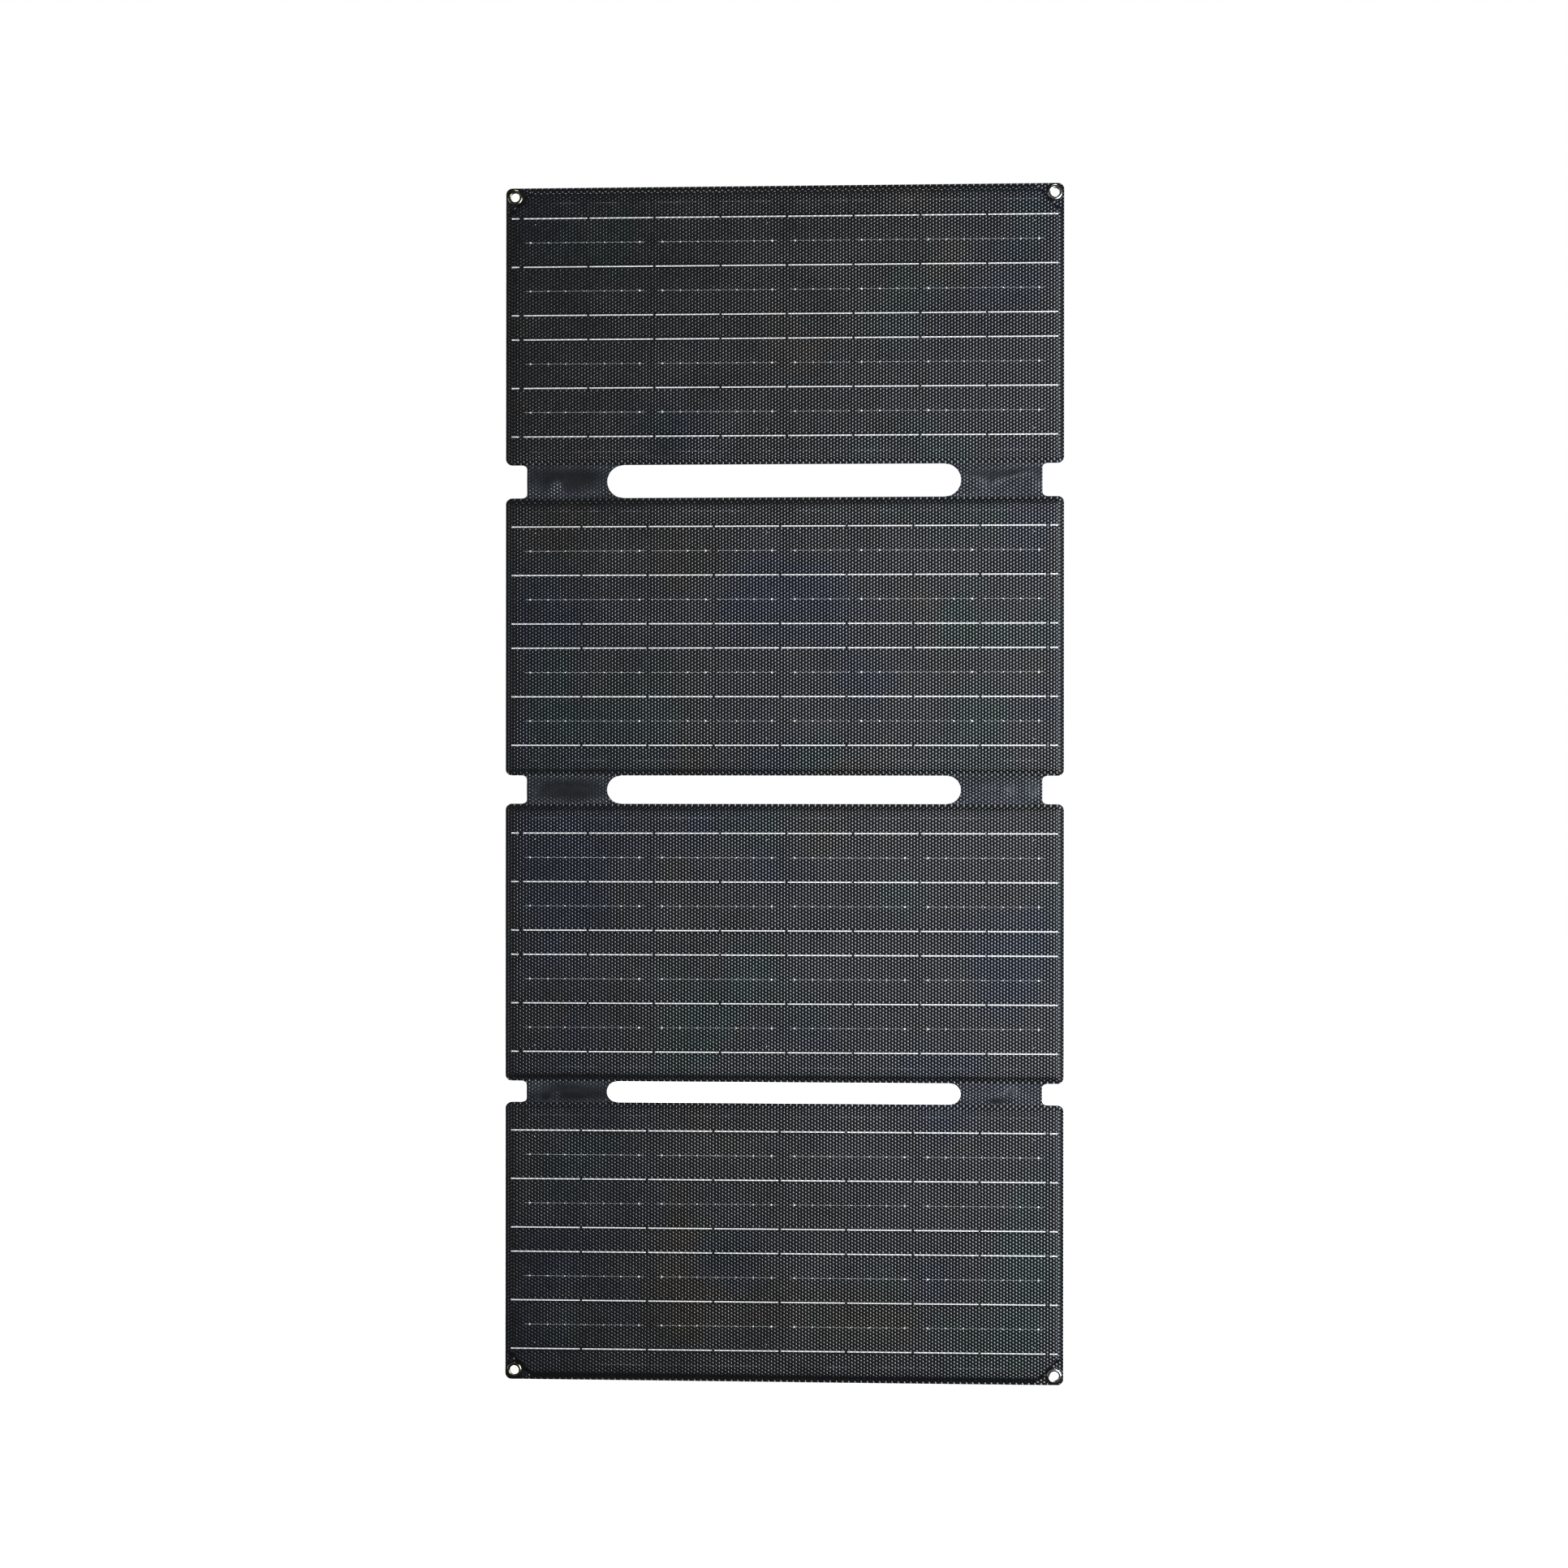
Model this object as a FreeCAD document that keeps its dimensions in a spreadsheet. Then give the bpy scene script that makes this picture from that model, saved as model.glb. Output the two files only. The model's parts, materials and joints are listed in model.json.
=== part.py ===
import FreeCAD, Part
import math
import os

import Sketcher

# A folding solar blanket: four stiff laminated panels joined by soft fold webs, with a
# junction box behind the top panel.  It hangs upright by its top eyelets.
# X is across the blanket, Y points behind it and Z is up.  The origin is the centre of
# the top pair of eyelets, in the middle of the laminate's thickness.

SIZES = {
    # outline of one panel
    "panel_wide": 404,
    "panel_tall": 201.2,
    "panel_corner": 4.5,
    # spaces between the panels, wider where more layers are rolled inside the fold
    "gap_12": 24,
    "gap_23": 20.5,
    "gap_34": 15.4,
    # distance between the mid planes of two neighbouring layers when rolled up
    "stack_pitch": 3.6,
    # planes of the laminate, measured along Y from its mid plane
    "back_face": 1.4,
    "bus_back": 0.95,
    "board_back": 0.8,
    "board_front": -0.3,
    "cell_back": -0.6,
    "cell_front": -0.8,
    "ribbon_front": -0.95,
    "front_face": -1.4,
    "rim_front": -0.2,
    # soft rim round the board, and the corners cut back beside an eyelet
    "rim_wide": 6,
    "rim_flat": 1,
    "eyelet_cut": 11.4,
    "eyelet_foot_cut": 19.6,
    "plain_cut": 3,
    # cell strips
    "strip_wide": 45.5,
    "strip_tall": 182,
    "strip_pitch": 48.07,
    "wafer_chamfer": 7.6,
    # interconnect ribbons
    "ribbon_wide": 1.05,
    "row_pitch": 17.6,
    "ribbon_lead": 2,
    "ribbon_gap": 1.8,
    "tail_long": 4,
    "wrap_thick": 0.15,
    "bus_wide": 6,
    "bus_lap": 0.5,
    "return_drop": 20,
    "lead_wide": 10,
    # eyelets
    "eyelet_inset": 6.6,
    "eyelet_hole": 3.25,
    "eyelet_barrel": 3.75,
    "eyelet_flange": 5.5,
    "flange_thick": 0.6,
    "washer_thick": 0.25,
    "flare_thick": 0.15,
    "flare_reach": 4.6,
    # fold webs
    "web_front": 0.5,
    "web_inner": 128,
    "web_outer": 186.5,
    "web_flare": 3.3,
    "series_at": 172,
    "return_at": 150,
    # junction box
    "box_down": 62,
    "box_wide": 96,
    "box_tall": 64,
    "box_deep": 16,
    "box_wall": 2,
    "box_floor": 1.8,
    "box_corner": 6,
    "gasket_thick": 0.6,
    "gasket_wide": 1.2,
    "lid_thick": 2,
    "boss_x": 40,
    "boss_z": 24,
    "boss_radius": 3.4,
    "screw_radius": 1.25,
    "screw_depth": 9,
    "head_radius": 2.8,
    "head_tall": 1.4,
    "post_x": 28,
    "post_radius": 2,
    "pcb_back": 7.6,
    "pcb_thick": 1.6,
    "pcb_wide": 86,
    "pcb_tall": 52,
    "pcb_cut": 11,
    "lead_post_x": 16,
    "lead_post_radius": 0.9,
    # sockets, each with its mouth just inside the box's outer face
    "mouth_inset": 0.4,
    "usb_a_at": 12,
    "usb_a_wide": 14.4,
    "usb_a_tall": 7,
    "usb_a_long": 17,
    "usb_a_shell": 0.8,
    "usb_a_tongue": 1.8,
    "usb_c_at": -3,
    "usb_c_wide": 9,
    "usb_c_tall": 3.3,
    "usb_c_long": 9,
    "usb_c_shell": 0.35,
    "usb_c_tongue": 0.7,
    "dc_at": -14.5,
    "dc_wide": 11,
    "dc_tall": 9,
    "dc_long": 14,
    "dc_nozzle": 4.4,
    "dc_bore": 2.9,
    "dc_pin": 1.05,
    "socket_depth": 10,
    "port_clear": 0.4,
    # port cover and its hinge
    "hinge_x": 50.6,
    "hinge_y": 15,
    "hinge_pin": 0.8,
    "knuckle_hole": 1.1,
    "knuckle": 2.2,
    "cover_thick": 2,
    "cover_front": 3,
    "cover_tall": 53.4,
    "ear_thick": 3,
    "ear_gap": 0.3,
    # status light
    "light_at": 30,
    "light_radius": 1.5,
    "light_proud": 0.3,
    # cross recess in a lid screw
    "recess_wide": 0.8,
    "recess_long": 3,
    # parts soldered to the circuit board
    "diode_wide": 10,
    "diode_tall": 9,
    "diode_high": 4.4,
    "diode_at": -32,
    "diode_up": 10,
    "chip_wide": 8,
    "chip_high": 1.2,
    "chip_at": -4,
    "low_row": -14,
    "inductor_wide": 12,
    "inductor_corner": 2,
    "inductor_high": 6,
    "inductor_at": 9,
    "capacitor_radius": 3.5,
    "capacitor_high": 7.5,
    "capacitor_outer": -20,
    "capacitor_inner": -10,
    "capacitor_up": 12,
    # how far a pad runs into its neighbour so that the two join
    "overlap": 1,
}

STRIPS = 8
WAFER_STRIPS = 4
ROWS = 10
SOLID_ROWS = (0, 2, 4, 5, 7, 9)

doc = FreeCAD.newDocument("SolarBlanket")
sheet = doc.addObject("Spreadsheet::Sheet", "Sizes")
for row, (alias, value) in enumerate(SIZES.items(), start=1):
    sheet.set(f"A{row}", alias)
    sheet.set(f"B{row}", str(value))
    sheet.setAlias(f"B{row}", alias)
doc.recompute()

SUB_PARTS = []


# ---- sketch helpers ----------------------------------------------------------------

def use(expression):
    """An expression over the sheet, written with bare aliases, as FreeCAD reads it."""
    text = str(expression)
    for alias in sorted(SIZES, key=len, reverse=True):
        text = text.replace(alias, f"@{list(SIZES).index(alias)}@")
    for number, alias in enumerate(SIZES):
        text = text.replace(f"@{number}@", f"Sizes.{alias}")
    return text


def value_of(expression):
    """What an expression over the sheet comes to now."""
    return float(sheet.evalExpression(use(expression).replace("Sizes.", "")))


def new_body(label, across=0, up=0, behind=0):
    """A body whose placement is bound to the sheet."""
    body = doc.addObject("PartDesign::Body", label)
    body.Label = label
    body.AllowCompound = True
    body.setExpression("Placement.Base.x", use(across))
    body.setExpression("Placement.Base.y", use(behind))
    body.setExpression("Placement.Base.z", use(up))
    SUB_PARTS.append(body)
    return body


def new_sketch(body, plane, offset):
    """A sketch on one of the body's own planes, moved along that plane's normal."""
    sketch = body.newObject("Sketcher::SketchObject", f"{body.Name}_sketch")
    origin_plane = next(f for f in body.Origin.OriginFeatures if f.Role == plane)
    sketch.AttachmentSupport = [(origin_plane, "")]
    sketch.MapMode = "FlatFace"
    sketch.setExpression("AttachmentOffset.Base.z", use(offset))
    return sketch


def fix(sketch, kind, geometry, point, expression):
    """Bind one coordinate of a sketch point to the sheet."""
    number = sketch.addConstraint(
        Sketcher.Constraint(kind, -1, 1, geometry, point, value_of(expression))
    )
    name = f"{kind}_{geometry}_{point}"
    sketch.renameConstraint(number, name)
    sketch.setExpression(f"Constraints.{name}", use(expression))


def draw_outline(sketch, corners):
    """A closed outline through the corners, counter-clockwise.

    A corner is (x, y), or (x, y, centre_x, centre_y, turn) where an arc about that
    centre leads on to the next corner; turn is 1 for counter-clockwise, -1 for clockwise.
    """
    first = sketch.GeometryCount
    starts = []
    ends = []
    for number, corner in enumerate(corners):
        following = corners[(number + 1) % len(corners)]
        here = FreeCAD.Vector(value_of(corner[0]), value_of(corner[1]), 0)
        there = FreeCAD.Vector(value_of(following[0]), value_of(following[1]), 0)
        if len(corner) == 2:
            sketch.addGeometry(Part.LineSegment(here, there))
            starts.append(1)
            ends.append(2)
            continue
        centre = FreeCAD.Vector(value_of(corner[2]), value_of(corner[3]), 0)
        circle = Part.Circle(centre, FreeCAD.Vector(0, 0, 1), (here - centre).Length)
        turn = corner[4]
        arms = (here - centre, there - centre) if turn > 0 else (there - centre, here - centre)
        angles = [math.atan2(arm.y, arm.x) for arm in arms]
        if angles[1] <= angles[0]:
            angles[1] += 2 * math.pi
        sketch.addGeometry(Part.ArcOfCircle(circle, *angles))
        starts.append(1 if turn > 0 else 2)
        ends.append(2 if turn > 0 else 1)
    for number, corner in enumerate(corners):
        after = (number + 1) % len(corners)
        sketch.addConstraint(
            Sketcher.Constraint(
                "Coincident", first + number, ends[number], first + after, starts[after]
            )
        )
        fix(sketch, "DistanceX", first + number, starts[number], corner[0])
        fix(sketch, "DistanceY", first + number, starts[number], corner[1])
        if len(corner) > 2:
            fix(sketch, "DistanceX", first + number, 3, corner[2])


def draw_rectangle(sketch, left, low, right, high):
    draw_outline(sketch, [(left, low), (right, low), (right, high), (left, high)])


def draw_rounded(sketch, wide, tall, radius, across=0, up=0):
    """A rectangle with round corners about a centre."""
    left, right = f"{across}-({wide})/2", f"{across}+({wide})/2"
    low, high = f"{up}-({tall})/2", f"{up}+({tall})/2"
    r = f"({radius})"
    draw_outline(
        sketch,
        [
            (f"{left}+{r}", low),
            (f"{right}-{r}", low, f"{right}-{r}", f"{low}+{r}", 1),
            (right, f"{low}+{r}"),
            (right, f"{high}-{r}", f"{right}-{r}", f"{high}-{r}", 1),
            (f"{right}-{r}", high),
            (f"{left}+{r}", high, f"{left}+{r}", f"{high}-{r}", 1),
            (left, f"{high}-{r}"),
            (left, f"{low}+{r}", f"{left}+{r}", f"{low}+{r}", 1),
        ],
    )


def draw_circle(sketch, across, up, radius):
    """A circle whose centre and radius are bound to the sheet."""
    number = sketch.GeometryCount
    centre = FreeCAD.Vector(value_of(across), value_of(up), 0)
    size = value_of(radius)
    sketch.addGeometry(Part.Circle(centre, FreeCAD.Vector(0, 0, 1), size))
    fix(sketch, "DistanceX", number, 3, across)
    fix(sketch, "DistanceY", number, 3, up)
    held = sketch.addConstraint(Sketcher.Constraint("Radius", number, size))
    sketch.renameConstraint(held, f"Radius_{number}")
    sketch.setExpression(f"Constraints.Radius_{number}", use(radius))


def draw_panel_octagon(sketch, inset, top_cut, low_cut):
    """A panel's outline moved inwards, with its top and its low corners cut back."""
    side = f"panel_wide/2-({inset})"
    end = f"panel_tall/2-({inset})"
    draw_outline(
        sketch,
        [
            (f"-({side})+{low_cut}", f"-({end})"),
            (f"{side}-{low_cut}", f"-({end})"),
            (side, f"-({end})+{low_cut}"),
            (side, f"{end}-{top_cut}"),
            (f"{side}-{top_cut}", end),
            (f"-({side})+{top_cut}", end),
            (f"-({side})", f"{end}-{top_cut}"),
            (f"-({side})", f"-({end})+{low_cut}"),
        ],
    )


# ---- feature helpers ---------------------------------------------------------------

def pad(body, sketch, length):
    """Add material from the sketch along its normal."""
    feature = body.newObject("PartDesign::Pad", f"{body.Name}_pad")
    feature.Profile = sketch
    feature.setExpression("Length", use(length))
    doc.recompute()
    return feature


def pocket(body, sketch, length):
    """Take material away from the sketch, against its normal, and prove that it went."""
    before = body.Shape.Volume
    feature = body.newObject("PartDesign::Pocket", f"{body.Name}_pocket")
    feature.Profile = sketch
    feature.setExpression("Length", use(length))
    doc.recompute()
    if not body.Shape.Volume < before:
        raise RuntimeError(f"{feature.Name} cuts nothing")
    return feature


def repeat(body, features, sketch, axis, pitch, count):
    """Repeat features along one axis of a sketch."""
    pattern = body.newObject("PartDesign::LinearPattern", f"{body.Name}_pattern")
    pattern.Originals = features
    pattern.Direction = (sketch, [axis])
    pattern.Mode = "Spacing"
    pattern.setExpression("Offset", use(pitch))
    pattern.Occurrences = count
    body.Tip = pattern
    doc.recompute()
    return pattern


def front_sketch(body, plane_y):
    """A sketch in the front view: its x is X, its y is Z and it lies at a depth in Y."""
    return new_sketch(body, "XZ_Plane", f"-({plane_y})")


def slab(body, draw, back, front):
    """A flat piece between two depths, from what draw puts in the front view."""
    sketch = front_sketch(body, back)
    draw(sketch)
    return pad(body, sketch, f"({back})-({front})")


def cut(body, draw, front, back):
    """Cut from a front depth to a back one what draw puts in the front view."""
    sketch = front_sketch(body, front)
    draw(sketch)
    return pocket(body, sketch, f"({back})-({front})")


# ---- where things are ---------------------------------------------------------------

GAPS = ("gap_12", "gap_23", "gap_34")
TOP_EDGE = "eyelet_inset"
PANEL_CENTRES = [
    "+".join([TOP_EDGE, f"-panel_tall*{number + 0.5}"] + [f"-{gap}" for gap in GAPS[:number]])
    .replace("+-", "-")
    for number in range(4)
]
BOTTOM_EYELETS = f"{PANEL_CENTRES[3]}-panel_tall/2+eyelet_inset"
# which side of each fold carries the series link: 1 is right, -1 is left
SERIES_SIDES = (1, -1, 1)
BOX_FROM_PANEL = "(panel_tall/2-eyelet_inset-box_down)"
POST_HIGH = f"{BOX_FROM_PANEL}+bus_wide/2"
LEFT_POST = "-lead_post_x+bus_wide/2"
RIGHT_POST = "lead_post_x+bus_wide/2"
EYELET_X = "(panel_wide/2-eyelet_inset)"
EYELET_Z = "(panel_tall/2-eyelet_inset)"
FIELD_LEFT = "-(strip_pitch*3.5+strip_wide/2)"


def corner_cuts(panel):
    """The top and low corner cuts of a panel: deeper beside the eyelets."""
    return (
        "eyelet_cut" if panel == 0 else "plain_cut",
        "eyelet_cut" if panel == 3 else "plain_cut",
    )


def eyelet_height(panel):
    """Where a panel has its eyelets, from its centre, or None."""
    return {0: EYELET_Z, 3: f"-{EYELET_Z}"}.get(panel)


def row_height(row):
    return f"row_pitch*({(ROWS - 1) / 2 - row})"


# ---- the laminated panels -----------------------------------------------------------

def cut_eyelet_holes(body, panel, front, back):
    height = eyelet_height(panel)
    if height is None:
        return

    def draw(sketch):
        for side in ("-", ""):
            draw_circle(sketch, f"{side}{EYELET_X}", height, "eyelet_barrel")

    cut(body, draw, front, back)


def make_back_fabric(panel):
    """The woven back sheet, over the whole outline."""
    body = new_body(f"panel_{panel + 1}_back_fabric", up=PANEL_CENTRES[panel])
    slab(
        body,
        lambda sketch: draw_rounded(sketch, "panel_wide", "panel_tall", "panel_corner"),
        "back_face",
        "bus_back",
    )
    cut_eyelet_holes(body, panel, "bus_back", "back_face")
    if panel == 0:

        def draw(sketch):
            for side in ("-", ""):
                draw_circle(sketch, f"{side}lead_post_x", BOX_FROM_PANEL, "lead_post_radius")

        cut(body, draw, "bus_back", "back_face")


def make_core_sheet(panel, name, back, front):
    """A stiff or a melted sheet of the laminate's core."""
    body = new_body(f"panel_{panel + 1}_{name}", up=PANEL_CENTRES[panel])
    slab(
        body,
        lambda sketch: draw_panel_octagon(sketch, "rim_wide", *corner_cuts(panel)),
        back,
        front,
    )


def draw_wafer(sketch):
    """One wafer cut into four strips; its own four corners are chamfered."""
    low, high = "-strip_tall/2", "strip_tall/2"
    for strip in range(WAFER_STRIPS):
        left = f"{FIELD_LEFT}+strip_pitch*{strip}"
        right = f"{left}+strip_wide"
        if strip == 0:
            corners = [
                (f"{left}+wafer_chamfer", low),
                (right, low),
                (right, high),
                (f"{left}+wafer_chamfer", high),
                (left, f"{high}-wafer_chamfer"),
                (left, f"{low}+wafer_chamfer"),
            ]
        elif strip == WAFER_STRIPS - 1:
            corners = [
                (left, low),
                (f"{right}-wafer_chamfer", low),
                (right, f"{low}+wafer_chamfer"),
                (right, f"{high}-wafer_chamfer"),
                (f"{right}-wafer_chamfer", high),
                (left, high),
            ]
        else:
            corners = [(left, low), (right, low), (right, high), (left, high)]
        draw_outline(sketch, corners)


def make_cells(panel):
    """Eight cell strips, cut from two wafers."""
    body = new_body(f"panel_{panel + 1}_cells", up=PANEL_CENTRES[panel])
    wafer = slab(body, draw_wafer, "cell_back", "cell_front")
    across = wafer.Profile[0]
    repeat(body, [wafer], across, "H_Axis", f"strip_pitch*{WAFER_STRIPS}", STRIPS // WAFER_STRIPS)


def make_ribbons(panel):
    """Flat ribbons on the cells, each running on across the gap to the next strip.

    At one end they run on past the last strip and wrap round the board's edge.  At the
    other a short tail does, and the panels alternate which end is which.
    """
    body = new_body(f"panel_{panel + 1}_ribbons", up=PANEL_CENTRES[panel])
    mirror = -1 if panel % 2 else 1

    def draw_row_boxes(sketch, left, right):
        ends = (left, right) if mirror > 0 else (f"-({right})", f"-({left})")
        for row in SOLID_ROWS:
            height = row_height(row)
            draw_rectangle(
                sketch, ends[0], f"{height}-ribbon_wide/2", ends[1], f"{height}+ribbon_wide/2"
            )

    start = f"{FIELD_LEFT}+ribbon_lead"
    stop = f"{FIELD_LEFT}+strip_pitch+ribbon_lead-ribbon_gap"
    edge = "panel_wide/2-rim_wide"
    first = slab(
        body, lambda sketch: draw_row_boxes(sketch, start, stop), "cell_front", "ribbon_front"
    )
    pattern = repeat(body, [first], first.Profile[0], "H_Axis", "strip_pitch", STRIPS)
    pattern.Reversed = mirror < 0
    last_stop = f"{stop}+strip_pitch*{STRIPS - 1}"
    slab(
        body,
        lambda sketch: draw_row_boxes(sketch, f"{last_stop}-overlap", edge),
        "cell_front",
        "ribbon_front",
    )
    slab(
        body,
        lambda sketch: draw_row_boxes(sketch, edge, f"{edge}+wrap_thick"),
        "bus_back",
        "ribbon_front",
    )
    slab(
        body,
        lambda sketch: draw_row_boxes(sketch, f"-({edge})", f"-({edge})+tail_long"),
        "cell_front",
        "ribbon_front",
    )
    slab(
        body,
        lambda sketch: draw_row_boxes(sketch, f"-({edge})-wrap_thick", f"-({edge})"),
        "bus_back",
        "ribbon_front",
    )


def lanes(panel):
    """Where flat conductors leave a panel through its rim: (1 for top or -1, their X)."""
    found = []
    for end, fold in ((1, panel - 1), (-1, panel)):
        if 0 <= fold < len(GAPS):
            found.append((end, f"{SERIES_SIDES[fold]}*series_at"))
            found.append((end, "-return_at"))
    return found


def lane_edges(lane):
    return f"{lane}-lead_wide/2", f"{lane}+lead_wide/2"


def make_bus_ribbons(panel):
    """Wide flat bars behind the board that gather the ribbons and lead to the folds."""
    body = new_body(f"panel_{panel + 1}_bus_ribbons", up=PANEL_CENTRES[panel])
    edge = "(panel_wide/2-rim_wide)"
    bar = f"({edge}-bus_wide)"
    reach = f"(row_pitch*{(ROWS - 1) / 2}+bus_wide/2)"

    def strap(left, low, right, high):
        slab(
            body,
            lambda sketch: draw_rectangle(sketch, left, low, right, high),
            "bus_back",
            "board_back",
        )

    strap(f"-{edge}", f"-{reach}", f"-{bar}", reach)
    strap(bar, f"-{reach}", edge, reach)
    for end, lane in lanes(panel):
        near, far = lane_edges(lane)
        if lane == "-return_at":
            continue
        low, high = ordered(end, f"{reach}-bus_wide", reach)
        if lane.startswith("-"):
            strap(f"-{bar}-bus_lap", low, far, high)
        else:
            strap(near, low, f"{bar}+bus_lap", high)
        low, high = ordered(end, f"{reach}-bus_lap", "panel_tall/2")
        strap(near, low, far, high)
    near, far = lane_edges("-return_at")
    if panel == 0:
        turn = f"({BOX_FROM_PANEL}-return_drop)"
        strap(f"-{bar}-bus_lap", f"{BOX_FROM_PANEL}-bus_wide/2", LEFT_POST, POST_HIGH)
        strap(near, "-panel_tall/2", far, f"{turn}+bus_wide")
        strap(near, turn, RIGHT_POST, f"{turn}+bus_wide")
        strap(f"{RIGHT_POST}-bus_wide", turn, RIGHT_POST, POST_HIGH)
    elif panel == 3:
        strap(f"-{bar}-bus_lap", "-bus_wide/2", far, "bus_wide/2")
        strap(near, "-bus_wide/2", far, "panel_tall/2")
    else:
        strap(near, "-panel_tall/2", far, "panel_tall/2")


def ordered(end, inner, outer):
    """Two heights at the top or the bottom end of a panel, the lower one first."""
    return (inner, outer) if end > 0 else (f"-({outer})", f"-({inner})")


def make_front_film(panel):
    """The embossed clear film with its filled rim.

    It covers the cells, slopes down over the board's edge and meets the back fabric at a
    thin rim.  The core lies in a recess in its back.
    """
    body = new_body(f"panel_{panel + 1}_front_film", up=PANEL_CENTRES[panel])
    slab(
        body,
        lambda sketch: draw_rounded(sketch, "panel_wide", "panel_tall", "panel_corner"),
        "bus_back",
        "rim_front",
    )
    cuts = corner_cuts(panel)
    low = front_sketch(body, "rim_front")
    foot_cuts = ["eyelet_foot_cut" if c == "eyelet_cut" else c for c in cuts]
    draw_panel_octagon(low, "rim_flat", *foot_cuts)
    high = front_sketch(body, "front_face")
    draw_panel_octagon(high, "rim_wide", *cuts)
    slope = body.newObject("PartDesign::AdditiveLoft", f"{body.Name}_slope")
    slope.Profile = low
    slope.Sections = [high]
    slope.Ruled = True
    doc.recompute()
    cut(
        body,
        lambda sketch: draw_panel_octagon(sketch, "rim_wide-wrap_thick", *cuts),
        "ribbon_front",
        "bus_back",
    )
    cut_eyelet_holes(body, panel, "rim_front", "bus_back")

    def draw_lanes(sketch):
        for end, lane in lanes(panel):
            low, high = ordered(end, "panel_tall/2-rim_wide", "panel_tall/2")
            draw_rectangle(sketch, lane_edges(lane)[0], low, lane_edges(lane)[1], high)

    cut(body, draw_lanes, "board_back", "bus_back")


# ---- eyelets ------------------------------------------------------------------------

def make_eyelets(name, height):
    """A pair of metal eyelets and the washers that they are clenched over."""
    def pair(radius):
        def draw(sketch):
            for side in ("-", ""):
                draw_circle(sketch, f"{side}{EYELET_X}", 0, radius)
        return draw

    flange_front = "rim_front-flange_thick"
    washer_back = "back_face+washer_thick"
    body = new_body(f"{name}_eyelets", up=height)
    slab(body, pair("eyelet_barrel"), f"{washer_back}+flare_thick", flange_front)
    slab(body, pair("eyelet_flange"), "rim_front", flange_front)
    slab(body, pair("flare_reach"), f"{washer_back}+flare_thick", washer_back)
    cut(body, pair("eyelet_hole"), flange_front, f"{washer_back}+flare_thick")
    washers = new_body(f"{name}_eyelet_washers", up=height)
    slab(washers, pair("eyelet_flange"), washer_back, "back_face")
    cut(washers, pair("eyelet_barrel"), "back_face", washer_back)


# ---- folds --------------------------------------------------------------------------

def fold_centre(fold):
    return f"{PANEL_CENTRES[fold]}-panel_tall/2-{GAPS[fold]}/2"


def fold_axes(fold):
    """The heights of a fold's two bending lines, which lie in the plane of its conductors.

    They are as far apart as the layers rolled up inside the fold need.
    """
    centre = value_of(fold_centre(fold))
    apart = value_of(f"stack_pitch*{len(GAPS) - fold}+2*bus_back")
    return centre + apart / 2, centre - apart / 2


def make_fold(fold):
    """Two soft webs between two panels, and the flat conductors inside them."""
    name = f"fold_{fold + 1}{fold + 2}"
    gap = GAPS[fold]
    centre = fold_centre(fold)
    half = f"{gap}/2"
    flare = "web_outer+web_flare"
    series_lane = f"{SERIES_SIDES[fold]}*series_at"
    for side, word in ((-1, "left"), (1, "right")):
        body = new_body(f"{name}_web_{word}", up=centre)

        def draw(sketch):
            corners = [
                (f"web_inner-{half}", f"-{half}"),
                (flare, f"-{half}", flare, f"-{half}+web_flare", -1),
                ("web_outer", f"-{half}+web_flare"),
                ("web_outer", f"{half}-web_flare", flare, f"{half}-web_flare", -1),
                (flare, half),
                (f"web_inner-{half}", half, f"web_inner-{half}", 0, -1),
            ]
            if side < 0:
                corners = mirrored(corners)
            draw_outline(sketch, corners)

        slab(body, draw, "back_face", "web_front")
        for lane in (series_lane, "-return_at"):
            if value_of(lane) * side < 0:
                continue
            near, far = lane_edges(lane)
            through = new_sketch(body, "XY_Plane", half)
            draw_rectangle(through, near, "board_back", far, "bus_back")
            pocket(body, through, gap)
    for word, lane in (("series_link", series_lane), ("return_lead", "-return_at")):
        body = new_body(f"{name}_{word}", up=centre)
        near, far = lane_edges(lane)
        slab(
            body,
            lambda sketch: draw_rectangle(sketch, near, f"-{half}", far, half),
            "bus_back",
            "board_back",
        )


def mirrored(corners):
    """The same outline on the left, still drawn counter-clockwise."""
    flipped = []
    count = len(corners)
    for number in range(count):
        here = corners[-number % count]
        leads_on = corners[(-number - 1) % count]
        spot = (f"-({here[0]})", here[1])
        if len(leads_on) > 2:
            spot += (f"-({leads_on[2]})", leads_on[3], leads_on[4])
        flipped.append(spot)
    return flipped


# ---- junction box -------------------------------------------------------------------

BOX_CENTRE = "-box_down"
BOX_BACK = "back_face+box_deep"
LID_FRONT = f"{BOX_BACK}+gasket_thick"
LID_BACK = f"{LID_FRONT}+lid_thick"
PCB_TOP = "pcb_back"
PCB_LOW = "pcb_back-pcb_thick"
FLOOR_TOP = "back_face+box_floor"


def box_body(label):
    return new_body(label, up=BOX_CENTRE)


def at_bosses(radius):
    """The same circle at each of the four corner bosses."""
    def draw(sketch):
        for across in ("-boss_x", "boss_x"):
            for up in ("-boss_z", "boss_z"):
                draw_circle(sketch, across, up, radius)
    return draw


def side_sketch(body, plane_x):
    """A sketch seen from the +X side: its x is Y and its y is Z."""
    return new_sketch(body, "YZ_Plane", plane_x)


def centred(wide, tall, across, up):
    """The edges of a rectangle about a centre."""
    return (
        f"{across}-({wide})/2", f"{up}-({tall})/2", f"{across}+({wide})/2", f"{up}+({tall})/2"
    )


SOCKET_MOUTH = "box_wide/2-mouth_inset"
USB_A_Y = f"{PCB_TOP}+usb_a_tall/2"
USB_C_Y = f"{PCB_TOP}+usb_c_tall/2"
DC_Y = f"{PCB_TOP}+dc_tall/2"


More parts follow.
